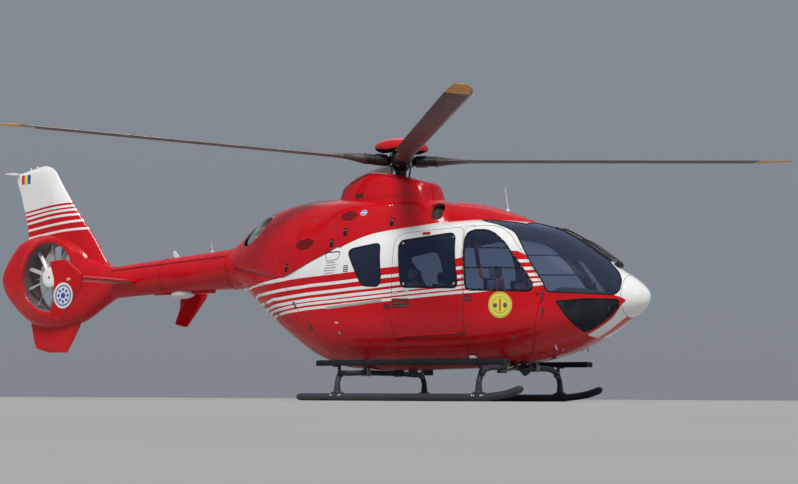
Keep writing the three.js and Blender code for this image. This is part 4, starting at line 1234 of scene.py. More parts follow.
def fairing(hull, other, start, stop, step, hole=None):
    """Shell of a fairing down to where it goes into the hull below it, with its ends closed."""
    t, region = region_above(hull, lambda x: meet(hull, other, x, start, stop) - 0.03, 18)
    loops = [polyline(region, 14, True)]
    if hole is not None:
        loops.append(polyline(hole, 12, True))
    skin = Skin(hull, loops, step=step)
    on = inside(region, skin.mid)
    if hole is not None:
        on &= ~inside(hole, skin.mid)
    kit = Trim(hull)
    kit.skin(skin, on, "red_tail", 12)
    kit.end_cap(hull.x0, float(t[0]), False, "red_tail")
    kit.end_cap(hull.x1, float(t[-1]), True, "red_tail")
    return kit


def make_fairings():
    cut = ring_on(MAST, HUB - MAST_UP * 100, MAST_UP, MAST_HOLE, 64)[:, 0]
    x = np.linspace(cut.min(), cut.max(), 30)
    t = MAST.t_at_y(x, np.sqrt(np.maximum(MAST_HOLE**2 - (x - x.mean())**2, 0)))
    kit = fairing(MAST, COWL, 1.55, -0.2, 24, closed_above(MAST, x, t))
    kit.tube(both_sides(MAST.raw(x, t)), 9, "red_tail", 10, loop=True)
    kit.make("mast_fairing_skin", "airframe", "red_paint", ["mast_fairing"])
    kit = fairing(ROOF, FUSELAGE, 1.5, -1.2, 26)
    kit.make("roof_fairing_skin", "airframe", "red_paint", ["roof_fairing"])


def make_exhausts():
    """Pipes that lean back and out, with mouths cut flush with the cowl."""
    d = EXHAUST_DIR / np.linalg.norm(EXHAUST_DIR)
    u = np.cross(d, [0, 0, 1.0])
    u /= np.linalg.norm(u)
    w = np.cross(u, d)
    a = turns(56)[:, None]
    mouth = np.array([-0.40, -0.80, 0.45])
    middle = EXHAUST_FROM + d * 575

    def hoop(r, s):
        return EXHAUST_FROM + d * s + r * (np.cos(a) * u + np.sin(a) * w)

    def lip(r, back):
        p = hoop(r, 0)
        return p + d * (((middle - p) @ mouth) / (d @ mouth) - back)[:, None]

    outer = [hoop(147, -170), hoop(148, 120), lip(149.5, 60)]
    rim = [lip(149.5, 60), lip(150, 12), lip(153, 2), lip(147, 0), lip(138, 4), lip(135, 16), lip(135, 52)]
    inner = [lip(135, 52), hoop(133, 90), hoop(130, -60)]
    for side, flip in SIDES:
        kit = Kit()
        for rings, mat in ((outer, "soot_steel"), (rim, "steel"), (inner, "soot_steel"),
                           ([hoop(130, -60), hoop(60, -165)], "soot_and_shade")):
            kit.rings(rings, mat, ends=False)
        kit.make(f"exhaust_{side}_pipe", "airframe", "bright_metal", [f"exhaust_{side}"], flip)


# Tail
FAN = np.array([-6010.0, 0, 1763.0])
SHROUD_EDGE = [(-7070, 1740), (-7055, 1850), (-6960, 2020), (-6830, 2180), (-6660, 2320), (-6300, 2400),
               (-5987, 2400), (-5600, 2300), (-5340, 2120), (-5230, 1900), (-5230, 1640), (-5290, 1350),
               (-5460, 1140), (-5740, 1040), (-6120, 1020), (-6400, 1080), (-6640, 1210), (-6860, 1400),
               (-7000, 1560)]
DUCT_CUT = 522  # the fin's skin is left out inside this radius round the fan, within the shroud's rim
FIN_FOOT, FIN_TOP = 1900, 3424
FIN_MAP = 1000.0
FIN_ROWS = [(1900, -4925, -6560, 200), (1960, -4990, -6560, 190), (2330, -5260, -6570, 160),
            (2600, -5490, -6612, 146), (2860, -5705, -6694, 135), (3001, -5812, -6737, 128),
            (3220, -5968, -6825, 112), (3318, -6036, -6852, 96), (3334, -6048, -6806, 92),
            (3384, -6112, -6550, 66), (3418, -6200, -6372, 40), (3428, -6258, -6300, 22)]
BUMPER_ROWS = [(672, -5770, -6120, 40), (750, -5710, -6390, 60), (1000, -5550, -6470, 80),
               (1200, -5440, -6520, 90)]
FIN_STRIPES = [((-6598, 2725), (-6108, 2777), (-5681, 2809)), ((-6569, 2663), (-6104, 2719), (-5636, 2750)),
               ((-6541, 2592), (-6034, 2651), (-5572, 2678)), ((-6486, 2494), (-5918, 2551), (-5503, 2582)),
               ((-6568, 2368), (-5910, 2436), (-5398, 2464))]
TAILPLANE = spline([(-4290, 0), (-4306, 20), (-4360, 33), (-4480, 36), (-4620, 20), (-4740, 5), (-4740, -5),
                    (-4620, -15), (-4480, -22), (-4350, -20), (-4304, -13)], 5, True)
END_PLATE = rounded([(-4844, 1873), (-4555, 1893), (-4247, 1681), (-4262, 1494), (-4634, 1060), (-4853, 1112),
                     (-4752, 1346), (-4753, 1623)], [30, 50, 60, 60, 60, 30, 200, 200], 20)


class Foil:
    """Upright tapering aerofoil from rows of height, front edge, rear edge and thickness."""

    def __init__(self, rows):
        self.front, self.rear, self.thick = (column(rows, k) for k in (1, 2, 3))

    def half(self, t, z):
        """Half thickness at a share t of the chord from the front."""
        return self.thick(z) / 2 * (np.sin(PI * np.clip(t, 0, 1)**0.6) + 0.10 * np.clip(t, 0, 1)**6)

    def side(self, t, z, sign=-1):
        """Points of the right-hand side, or with sign 1 of the left, at shares t and heights z."""
        x = self.front(z) + (self.rear(z) - self.front(z)) * t
        return np.stack([x, sign * self.half(t, z), z], -1)

    def loft(self, kit, heights, mat, count=26):
        t = (1 - np.cos(np.linspace(0, PI, count))) / 2
        rings = []
        for h in heights:
            z = np.full(count, float(h))
            rings.append(np.concatenate([self.side(t, z), self.side(t, z, 1)[::-1][:-1]]))
        kit.rings(rings, mat)


def make_boom():
    kit = Trim(BOOM)
    kit.loft(np.linspace(-4850, -2600.5, 70), 72, "red_tail")
    t = np.linspace(-PI / 2, PI / 2, 40)
    for s in (-4832, -3850, -2622):
        kit.tube(both_sides(BOOM.at(float(s), t, 1.2)), 3.2, "red_dull", 6, loop=True)
    # cable fairing along the top, with its edge line
    x = np.linspace(-4800, -2640, 60)
    for s in (1, -1):
        t = np.interp(x, [-4722, -3843, -2450], [0.70, 0.62, 0.55])
        kit.tube(BOOM.at(x, t, 2.0) * [1, s, 1], 4.5, "red_dull", 6)
        kit.tube(BOOM.at(x, t + 0.07, 0.5) * [1, s, 1], 7, "red_tail", 8, flat=0.6)
    # aerial pod and cable rail below
    kit.box(-4110, -3030, -26, 26, 1452, 1500, "red_tail", 8)
    rings = []
    for u in [-math.cos(k * PI / 16) for k in range(17)]:
        r = math.sqrt(max(1 - u * u, 0.002))
        rings.append([(-3600 + 195 * u, y, 1456 + z) for y, z in oval(105 * r, 66 * r, 24)])
    kit.rings(rings, "white_trim")
    kit.make("tail_boom_skin", "airframe", "red_paint", ["tail_boom"])


def make_shroud():
    kit = Trim(FLARE)
    edge = spline([(x - FAN[0], z - FAN[2]) for x, z in SHROUD_EDGE], 8, True)
    edge[:, 0] = np.maximum(edge[:, 0], -1060)
    angle, reach = np.arctan2(edge[:, 1], edge[:, 0]), np.linalg.norm(edge, axis=1)
    order = np.argsort(angle)
    rings = []
    for a in turns(160) - PI:
        r = float(np.interp(a, angle[order], reach[order], period=2 * PI))
        half = [(500, 50), (500, 150), (501, 172), (508, 184), (521, 190), (540, 187), (580, 171),
                (r * 0.91, 112), (r - 7, 34)]
        q = spline([(out, -y) for out, y in half] + [(r, 0)] + half[::-1], 4, True)
        q[:, 0] = np.maximum(q[:, 0], 500)
        x = np.maximum(FAN[0] + q[:, 0] * math.cos(a), -7069.9)
        rings.append(np.stack([x, q[:, 1], FAN[2] + q[:, 0] * math.sin(a)], 1))
    kit.rings(rings, "red_tail", loop=True)
    kit.loft(np.linspace(-5492, -4850, 30), 72, "red_tail")
    Foil(BUMPER_ROWS).loft(kit, [*np.linspace(672, 760, 8), *np.linspace(800, 1200, 14)], "red_tail")
    a = turns(72)
    kit.rings([np.stack([FAN[0] + r * np.cos(a), 0 * a + y, FAN[2] + r * np.sin(a)], 1)
               for r, y in ((500.5, 160), (498.5, 158), (498.5, -158), (500.5, -160))], "duct", ends=False)
    kit.make("tail_shroud_skin", "airframe", "red_paint", ["tail_shroud"])


def fin_map(foil, points):
    """Stations and heights to the share of the chord times FIN_MAP, and the height."""
    x, z = np.asarray(points, float).T
    return np.stack([np.clip((foil.front(z) - x) / (foil.front(z) - foil.rear(z)), 0, 1) * FIN_MAP, z], 1)


def fin_band(foil, points, width=34):
    """Outline of a stripe that runs on past both edges of the fin."""
    (xa, za), (_, zb) = points[:2]
    xc, zc = points[-1]
    q = spline([(xa - 260, 2 * za - zb + 22), *points, (xc + 260, zc + 8)])
    d = np.array([0, width / 2])
    return fin_map(foil, np.concatenate([q + d, (q - d)[::-1]]))


def fin_areas(foil):
    """Outlines of the fin's white top, its stripes and the three bars of its flag, each with its paint."""
    crown = spline([(-6870, 2740), (-6601, 2768), (-6113, 2826), (-5725, 2856), (-5400, 2868)])
    areas = [(np.concatenate([fin_map(foil, crown), [(0, FIN_TOP), (FIN_MAP, FIN_TOP)]]), "white")]
    areas += [(fin_band(foil, q), "white") for q in FIN_STRIPES]
    for x, mat in ((-6735, "red_lens"), (-6667, "yellow"), (-6599, "blue")):
        bar = rounded([(x, 3180), (x + 68, 3180), (x + 68, 3318), (x, 3318)], 1, 20, 1)
        areas.append((fin_map(foil, bar), mat))
    return areas


def make_fin():
    foil = Foil(FIN_ROWS)
    low, high = [0, FIN_FOOT], [FIN_MAP, FIN_TOP]
    areas = fin_areas(foil)
    cuts = [polyline([(u * FIN_MAP, FIN_FOOT), (u * FIN_MAP, FIN_TOP)], 26)
            for u in (0.003, 0.012, 0.03, 0.06, 0.1, 0.16, 0.97)]
    grid = np.stack(np.meshgrid(np.linspace(0, FIN_MAP, 36), np.linspace(FIN_FOOT, FIN_TOP, 50)), -1)
    border = polyline([(0, FIN_FOOT), (FIN_MAP, FIN_FOOT), (FIN_MAP, FIN_TOP), (0, FIN_TOP)], 26, True)
    start = math.asin((FIN_FOOT - FAN[2]) / DUCT_CUT)
    arc = np.linspace(start, PI - start, 70)
    duct = fin_map(foil, np.stack([FAN[0] + DUCT_CUT * np.cos(arc), FAN[2] + DUCT_CUT * np.sin(arc)], 1))
    v, f = triangulate([border] + [np.clip(polyline(q, 16, True), low, high) for q, _ in areas],
                       [*cuts, duct], grid.reshape(-1, 2), 9)
    f = f[~inside(duct, v[f].mean(1))]
    mid = v[f].mean(1)
    names = ["red_tail", "white", "red_lens", "yellow", "blue"]
    paint = np.zeros(len(f), int)
    for outline, mat in areas:
        paint[inside(outline, mid)] = names.index(mat)
    kept, f = np.unique(f, return_inverse=True)
    f = f.reshape(-1, 3)
    p = foil.side(v[kept, 0] / FIN_MAP, v[kept, 1])
    f = facing(p, f, np.full((len(f), 3), [0, -1.0, 0]))
    kit = Kit()
    for k, mat in enumerate(names):
        g = f[paint == k]
        kit.add(np.concatenate([p, p * [1, -1, 1]]), np.concatenate([g, (g + len(p))[:, ::-1]]), mat)
    rear = (np.ones(60), np.linspace(FIN_FOOT, FIN_TOP, 60))
    top = (np.linspace(0, 1, 40), np.full(40, FIN_TOP))
    for line in (rear, top):
        kit.rings([foil.side(*line), foil.side(*line, 1)], "white", ends=False, closed=False)
    kit.make("tail_fin_skin", "airframe", "red_paint", ["tail_fin"], angle=50)


def make_stabilisers():
    chords = ((-150, 1), (-500, 0.98), (-900, 0.95), (-1318, 0.92))
    levels = [(-1350, -7), (-1348, -2.5), (-1344, 0), (-1318, 0), (-1314, -2.5), (-1312, -7)]
    panel = rounded([(-4318, -1290), (-4700, -1290), (-4700, -240), (-4318, -240)], 40, 30)
    rise = [5.2 * max(0, (-4480 - x) / 220.0) + (1.0 if x > -4340 else 0) for x in panel[:, 0]]
    under = np.column_stack([panel, 1640 - 21.8 + np.array(rise)])
    for side, flip in SIDES:
        kit = Kit()
        kit.rings([[(x, y, 1640 + h * k) for x, h in TAILPLANE] for y, k in chords], "red_tail")
        kit.plate(END_PLATE, levels, "red_tail")
        kit.rings([under, under - [0, 0, 1.2]], "white_low")
        kit.make(f"stabiliser_{side}_skin", "airframe", "red_paint", [f"stabiliser_{side}"], flip)


def fan_blade(kit, turn, radii, section, centre, mat="fan"):
    """One blade or vane; section gives its outline, chord, thickness and twist at a share of its length."""
    spin = np.array(Matrix.Rotation(turn, 3, "Y")).T
    inner, outer, count = radii
    rings = []
    for s in np.linspace(0, 1, count):
        points, chord, thick, twist = section(s)
        c = np.array([(chord * (0.5 - u), thick * h / 2) for u, h in points])
        w = np.stack([c[:, 0] * math.cos(twist) - c[:, 1] * math.sin(twist),
                      centre + c[:, 0] * math.sin(twist) + c[:, 1] * math.cos(twist),
                      np.full(len(c), inner + (outer - inner) * s)], 1)
        rings.append(w @ spin + FAN)
    kit.rings(rings, mat)


def make_fan():
    across = [0, 1, 0]
    blade_section = ((0, 0), (0.04, 0.55), (0.15, 0.9), (0.35, 1), (0.65, 0.7), (0.97, 0.1), (1, 0),
                     (0.97, -0.1), (0.65, -0.5), (0.35, -0.7), (0.15, -0.65), (0.04, -0.4))
    vane_section = ((0, 0), (0.05, 0.6), (0.3, 1), (0.7, 0.6), (1, 0), (0.7, -0.6), (0.3, -1), (0.05, -0.6))
    kit = Kit()
    kit.lathe([(40, 10), (146, 8), (150, 0), (150, -96), (149, -122), (143, -138), (126, -147), (80, -150),
               (0.5, -151)], FAN, across, "hub_white", 56)
    kit.lathe([(17, -150.5), (17, -152.4)], FAN, across, "black", 16)
    for turn in turns(10):
        shape = lambda s: (blade_section, 74 - 14 * s, 15 - 8 * s, 1.05 - 0.45 * s)
        fan_blade(kit, turn, (132, 488, 12), shape, -74)
        spin = Matrix.Rotation(turn, 3, "Y")
        foot, head = (FAN + np.array(spin @ Vector((0, -74, r))) for r in (126, 158))
        kit.rod(foot, head, 22, "cast", 16)
    kit.make("fan_rotor_blades", "tail_rotor", "fan_grey", ["fan_rotor"])
    kit = Kit()
    kit.lathe([(45, 11), (45, 24), (146, 26), (150, 34), (147, 70), (134, 130), (112, 160), (70, 170),
               (0.5, 171)], FAN, across, "fan", 56)
    for k in range(11):
        fan_blade(kit, 2 * PI * (k + 0.25) / 11, (134, 499, 5), lambda s: (vane_section, 62, 11, 1.2), 84)
    kit.make("fan_guide_vanes", "airframe", "fan_grey", ["fan_stator"])


# Main rotor
AEROFOIL = [(0.3, 0), (0.288, 0.4), (0.24, 0.78), (0.12, 1), (-0.05, 0.97), (-0.22, 0.82), (-0.4, 0.58),
            (-0.55, 0.33), (-0.7, 0.06), (-0.7, -0.06), (-0.55, -0.25), (-0.4, -0.42), (-0.22, -0.62),
            (-0.05, -0.75), (0.12, -0.76), (0.24, -0.55), (0.288, -0.28)]
BLADE = [(120, 190, 130, 0), (420, 200, 130, 0), (620, 150, 100, 0), (900, 289, 46, 0), (1100, 289, 36, 0),
         (4600, 289, 34, 0), (4900, 230, 26, 30), (5100, 110, 14, 100)]
CUFF_END, TIP_PAINT = 430, 4640
FIRST_BLADE = math.radians(40.9)
CONE = math.radians(2.7)
CAP_RADIUS, CAP_RIM, CAP_DROP = 350, 164, 30


def turned(p, i, j, angle):
    """Points turned by an angle from axis i towards axis j."""
    p = np.array(p, float)
    c, s = math.cos(angle), math.sin(angle)
    a, b = p[..., i] * c - p[..., j] * s, p[..., i] * s + p[..., j] * c
    p[..., i], p[..., j] = a, b
    return p


def on_rotor(p):
    """From the rotor's own frame, with Z along the mast through the hub, to the model's."""
    return turned(p, 2, 0, TILT) + HUB


def blade_rings(stations, place):
    chord, thick, sweep = (column(BLADE, k) for k in (1, 2, 3))
    foil = spline(AEROFOIL, 2, True)
    t = turns(len(foil))
    root = np.stack([-0.2 + 0.5 * np.cos(t), np.sin(t)], 1)
    rings = []
    for r in stations:
        c, h, w = float(chord(r)), float(thick(r)), float(sweep(r))
        roundness = np.clip((700 - r) / 200, 0, 1)
        q = foil * (1 - roundness) + root * roundness
        rings.append(place(np.stack([np.full(len(q), r), c * q[:, 0] - w, h * q[:, 1] / 2], 1)))
    return np.array(rings)


def make_blade(k):
    kit = Kit()
    place = lambda p: on_rotor(turned(turned(p, 0, 2, CONE), 0, 1, FIRST_BLADE + PI / 2 * k))
    stations = np.concatenate([np.linspace(172, 620, 16), np.linspace(660, 1100, 16),
                               np.linspace(1200, 4600, 26), np.linspace(TIP_PAINT, 5098.0, 18)])
    rings = blade_rings(stations, place)
    cuff, tip = (int(np.searchsorted(stations, r)) for r in (CUFF_END, TIP_PAINT))
    kit.rings(rings[:cuff + 1], "cuff")
    kit.rings(rings[cuff:tip + 1], "blade", ends=False)
    kit.rings(rings[tip:], "blade_tip")
    # worn metal strip along the front edge
    near = rings[cuff + 10:tip + 8]
    out = near[:, np.arange(-5, 6)] - near.mean(1, keepdims=True)
    kit.rings(near[:, np.arange(-5, 6)] + out / np.linalg.norm(out, axis=2, keepdims=True) * 0.6,
              "blade_edge", ends=False, closed=False)
    # root bands, bolts and the root's end
    for xs, shape, mat in (((196, 204, 330, 338), oval(104, 74), "cuff"),
                           ((452, 458, 472, 478), oval(100, 70) - [4, 0], "dark_trim")):
        kit.rings([place([(x, y, z) for y, z in shape]) for x in xs], mat)
    for x in (250, 300):
        for y in (40, -40):
            levels = ((11, 60), (11, 78), (7, 82))
            kit.rings([place([(x + b, y + c, z) for b, c in oval(r, r, 10)]) for r, z in levels], "steel")
    kit.rings([place([(x, y, z) for y, z in oval(16, 13, 12)]) for x in (150, 190)], "cast")
    kit.make(f"blade_{k + 1}_finish", "main_rotor", "blade_paint", [f"blade_{k + 1}"])


def make_rotor_cap():
    """Domed cap whose rim dips between the blades."""
    kit = Kit()
    a = turns(96)
    dip = 0.5 - 0.5 * np.cos(4 * (a - FIRST_BLADE))

    def ring(r, h, share):
        z = CAP_RIM + 0.9 * h - CAP_DROP * dip * share
        reach = CAP_RADIUS * r * (1 - 0.05 * dip * share)
        return on_rotor(np.stack([reach * np.cos(a), reach * np.sin(a), z], 1))

    outer = [(0.97, -8, 1.0), (0.99, -5, 1.0), (1.0, 4, 0.96), (0.985, 26, 0.72), (0.94, 50, 0.45),
             (0.84, 82, 0.2), (0.68, 112, 0.05), (0.48, 136, 0), (0.26, 150, 0), (0.08, 155, 0),
             (0.001, 156, 0)]
    inner = [(0.97, -8, 1.0), (0.955, -6, 1.0), (0.94, 10, 0.8), (0.86, 50, 0.4), (0.7, 80, 0.1),
             (0.4, 106, 0), (0.001, 114, 0)]
    kit.rings([ring(*q) for q in outer], "red_tail", ends=False)
    kit.rings([ring(*q) for q in inner], "soot_and_shade", ends=False)
    for b in turns(8) + FIRST_BLADE + PI / 8:
        kit.lathe([(7, 0), (7, 4), (4, 6)], on_rotor([262 * math.cos(b), 262 * math.sin(b), 212]), MAST_UP,
                  "steel", 10)
    kit.make("rotor_cap", "main_rotor", "red_paint", ["hub_cap"])


def make_rotor_head():
    kit = Kit()
    kit.lathe([(84, -370), (84, -300), (72, -292), (72, -120), (96, -96), (110, -70), (160, -62), (170, -44),
               (170, 40), (162, 60), (150, 66), (150, 92), (120, 104), (116, 149), (60, 149.5)], HUB, MAST_UP,
              "hub_dark", 48)
    for a in turns(4) + FIRST_BLADE:
        d = np.array([math.cos(a), math.sin(a), 0])
        s = np.array([-d[1], d[0], 0])

        def rod(start, end, r, mat, r1=None, sides=12, bevel=0.0):
            """Rod between two points given along the blade, across it and up."""
            ends = (on_rotor(d * p + s * q + [0, 0, z]) for p, q, z in (start, end))
            kit.rod(*ends, r, mat, r1, sides, bevel)

        for q in (-62, 62):
            rod((128, q, -74), (128, q, 84), 15, "steel", 14, 14, 3)
        # pitch link with its two ends, the lever that it moves, and the arm below
        rod((112, 96, -262), (138, 104, -30), 9.5, "black")
        rod((112, 96, -278), (112, 96, -228), 16, "black", 12)
        rod((138, 104, -60), (138, 104, -16), 13, "steel", 15)
        rod((138, 58, -26), (138, 122, -26), 13, "black")
        rod((70, 0, -268), (150, 70, -268), 13, "cast")
    kit.lathe([(88, -282), (140, -280), (150, -272), (150, -258), (140, -250), (92, -246)], HUB, MAST_UP,
              "cast", 40)
    kit.lathe([(88, -322), (134, -320), (142, -312), (142, -296), (134, -288), (92, -286)], HUB, MAST_UP,
              "scuffed", 40)
    kit.make("rotor_head", "main_rotor", "hub_metal", ["rotor_hub"])


# Landing gear
CROSS = (("front", 1730, 405), ("rear", -280, 350))
TRACK, SKID_Z = 1000, 46.3


def make_cross_tubes():
    for name, x, top in CROSS:
        kit = Kit()
        half = [(x, -TRACK, 100), (x, -TRACK, 180), (x, -985, 250), (x, -920, 335), (x, -760, top - 12),
                (x, -400, top)]
        path = spline(half + [(x, 0, top)] + [(x, -y, z) for _, y, z in half[::-1]], 7)
        kit.tube(path[path[:, 2] > 118], 34, "gear_grey", 22)
        for sy in (-1, 1):
            foot, y = sy * TRACK, sy * 360
            kit.tube([[x, foot, 128], [x, foot, 168], [x, sy * 998, 186]], [41, 40, 36], "gear_grey", 22)
            kit.block((x, y, top), (46, 42, 42), "cast", 8)
            kit.block((x, y, top + 66.5), (32, 26, 28.5), "gear_grey", 6)
            for dx in (-36, 36):
                for dy in (-30, 30):
                    kit.rod([x + dx, y + dy, top - 52], [x + dx, y + dy, top + 50], 6, "steel", sides=8)
        kit.make(f"cross_tube_{name}_finish", "airframe", "grey_gear", [f"cross_tube_{name}"])


def make_skid(side, flip):
    kit = Kit()
    line = [(-868, 0), (-200, 0), (700, 0), (1600, 0), (1850, 7), (2100, 41), (2288, 100)]
    path = spline([(x, -TRACK, SKID_Z + h) for x, h in line], 14)
    r = np.full(len(path), 45.0)
    r[[0, -1]] = 38
    kit.tube(path, r, "gear_grey", 26)
    kit.ball(path[-1], 38, "black", 20, (0.8, 1, 0.9))
    kit.ball(path[0], 37, "black", 20, (0.5, 1, 1))
    # wear shoes round the lower half
    arc = np.linspace(PI + 0.45, 2 * PI - 0.45, 12)
    shoe = np.stack([np.cos(arc), np.sin(arc)], 1) * 46
    shoe = np.concatenate([shoe, shoe[::-1] * 0.93])
    for a, b in ((-760, -380), (-180, 620), (700, 1500)):
        kit.rings([[(s, y - TRACK, z + SKID_Z) for y, z in shoe] for s in (a, a + 6, b - 6, b)], "scuffed")
    # saddles that hold the cross tubes
    for _, x, _ in CROSS:
        kit.tube([[x - 90, -TRACK, 51], [x - 82, -TRACK, 51.5], [x + 82, -TRACK, 51.5], [x + 90, -TRACK, 51]],
                 [46.5, 50.5, 50.5, 46.5], "gear_grey", 26)
        kit.block((x, -TRACK, 98), (62, 38, 14), "gear_grey", 6)
        kit.tube([[x, -TRACK, 96], [x, -TRACK, 124], [x, -TRACK, 130]], [44, 44, 40], "gear_grey", 22)
        for dx in (-72, -46, 46, 72):
            kit.rod([x + dx, -1046, 60], [x + dx, -1038, 78], 6, "steel", sides=8)
            kit.rod([x + dx, -TRACK, 92], [x + dx, -TRACK, 104], 7, "steel", sides=8)
    kit.make(f"skid_{side}_finish", "airframe", "grey_gear", [f"skid_{side}"], flip)


def make_step(side, flip):
    kit = Kit()
    kit.box(-540, 2140, -1100, -970, 427, 488, "step_dark", 14)
    for y in np.arange(-1086, -980, 15.0):
        kit.box(-520, 2120, y - 3, y + 3, 486, 495, "step_dark", 2)
    for x in (-534, 2118):
        kit.box(x, x + 16, -1100, -968, 425, 491, "black", 6)
    for _, x, _ in CROSS:
        kit.box(x - 15, x + 15, -975, -935, 330, 430, "gear_grey", 4)
        kit.box(x - 30, x + 30, -1060, -960, 412, 430, "gear_grey", 4)
        kit.tube([[x - 26, -925, 331], [x + 26, -925, 331]], 40, "cast", 20)
        kit.rod([x, -978, 372], [x, -990, 372], 8, "steel", sides=8)
    kit.make(f"step_{side}_finish", "airframe", "dark_step", [f"step_{side}"], flip)


def make_gear():
    make_cross_tubes()
    for side, flip in SIDES:
        make_skid(side, flip)
        make_step(side, flip)


# Details on the skin
def fuselage_fittings(side, flip):
    kit = Trim(FUSELAGE)
    kit.surround(grown(QUARTER_WINDOW, 2), 20, 6)
    screen = windscreen_loop(2)
    kit.strip(screen[:, 0], np.clip(screen[:, 1] / GIRTH, -PI / 2, PI / 2), 17, 4.5, "rubber", True)
    kit.surround(grown(CHIN_WINDOW, 2), 9, 3)
    # grab recess, vents, small plates and the slotted rail
    recess = [(-672, 1838), (-640, 1855), (-470, 1858), (-448, 1838), (-470, 1762), (-640, 1744)]
    kit.surround(rounded(recess, 30, 10), 9, 2.2, "black")
    kit.bead([(-672, 1840), (-640, 1860), (-470, 1862), (-452, 1848)], 12, 16, 2.6, "black")
    # vent slots drawn as dark grey strips that paint the shade of the openings
    for k, (a, b) in enumerate(((-655, -520), (-668, -495), (-660, -480), (-640, -478), (-628, -496))):
        z = 1592 + 33 * k
        kit.bead([(a, z - 3), (b, z + 4)], 16, 8, 1.4, "edge")
    kit.patch(-329, 1640, rect(34, 42, 4), "gear_grey", 1.2, 2)
    for dz in (-24, 0, 24):
        kit.patch(-329, 1640 + dz, rect(28, 5, 2), "white_trim", 1.8, 2)
    kit.bead([(-615, 1158), (226, 1228)], 18, 40, 6, "white_low")
    # the rail's slot drawn as dark grey lines that paint its shade
    for dz in (-9, 2, 12):
        kit.bead([(-600, 1159 + dz), (214, 1227 + dz)], 18, 4, 7.6, "edge")
    for x in np.arange(-560, 220, 96.0):
        kit.stud(x, 1158 + (x + 615) * 0.0833 + 1, 4, 9, "steel")
    kit.patch(-906, 922, rect(24, 42, 5, 0.4), "red_dull", 1.4)
    kit.patch(-460, 969, rect(26, 8, 5), "white_trim", 1.4)
    kit.patch(-420, 846, rect(20, 28, 5, 0.4), "red_dull", 1.4)
    kit.patch(-424, 842, rect(12, 16, 4), "steel", 3.5)
    kit.patch(300, 1152, rect(52, 34, 6), "red_dull", 0.9, 2)
    kit.stud(-86, 1352, 9, 4, "black", sides=12)
    kit.stud(-1158, 1234, 15, 6, "edge", sides=12)
    # filler and drain caps, keel seams
    for x, z, r in ((-1500, 1010, 13), (-760, 700, 16), (260, 640, 15), (2250, 640, 12)):
        kit.stud(x, z, r, 3, "edge", sides=14)
    kit.seam([(-480, 700), (340, 700)], 3.5, 0.8)
    kit.seam([(-480, z) for z in (560, 900, 1150)], 3.5, 0.8)
    # flush fasteners beside the tail cone joint and the sill
    for t in np.linspace(-1.35, 1.0, 34):
        kit.lathe([(4, -0.5), (3.6, 0.8), (1.5, 1.1)], *FUSELAGE.spot(-2545, t), "red_dull", 6)
    kit.fasteners(np.arange(-430, 330, 52.0), 560, 4, 1.2)
    kit.knuckles(CREW_HINGE, False)
    kit.knuckles(CLAM_HINGE, False)
    kit.make(f"fuselage_fittings_{side}", "airframe", "dark_trim", (), flip)


def sliding_door_fittings(side, flip):
    kit = Trim(FUSELAGE)
    kit.surround(grown(SLIDING_WINDOW, 3), 23, 6)
    for x, z in ((478, 1925), (1178, 1975), (1252, 1400), (536, 1420)):
        kit.stud(x, z, 17, 7, "steel", -1, 14)
        kit.stud(x, z, 22, 3, "black", -1, 14)
    kit.patch(770, 2037, rect(56, 20, 4, -0.05), "red", 5, 6)
    for dx in (-44, 0, 44):
        kit.stud(770 + dx, 2037, 6, 8, "red_dull")
    # handle on a recess drawn as two darker patches that paint its shade, catches, and the lower rail with a
    # dark red line under it that paints its shadow, and its end block
    kit.patch(497, 1186, rect(122, 58, 8), "red_dull", 0.9, 2)
    kit.patch(497, 1170, rect(96, 24, 8), "edge", 1.8, 2)
    kit.bead([(405, 1178), (590, 1190)], 12, 22, 17, "red", 2)
    for x, z in ((581, 1336), (424, 1311)):
        kit.patch(x, z, rect(36, 11, 4), "white_low", 4, 4)
        kit.stud(x - 18, z, 6, 6, "edge", 2)
    kit.bead([(402, 778), (1368, 812)], 16, 22, 14, "red")
    # painted shadow under the rail
    kit.bead([(410, 762), (1362, 796)], 16, 9, 3, "red_dull")
    kit.patch(1322, 806, rect(42, 22, 5), "red_dull", 12, 14)
    kit.fasteners(np.arange(440, 1330, 74.0), 548, 4.5, 1.5)
    kit.make(f"sliding_door_{side}_fittings", "airframe", "dark_trim", (), flip)


def round_emblem(kit, x, z):
    """Plain disc with two thin rings, a bar and two spots."""
    place = kit.around(x, z)
    kit.patch(x, z, oval(155, 155, 48), "yellow", 2.2)
    for r, n in ((143, 48), (96, 40)):
        kit.strip(*place(*oval(r, r, n).T), 5, 1.6, "edge", True, 2.0)
    kit.patch(x, z, rect(9, 74, 8), "red", 3.4, 2)
    for du, a, b in ((-64, 26, 26), (64, 24, 30)):
        kit.patch(float(place(du, 0)[0]), z - 6, oval(a, b, 20), "edge", 3.4, 2)


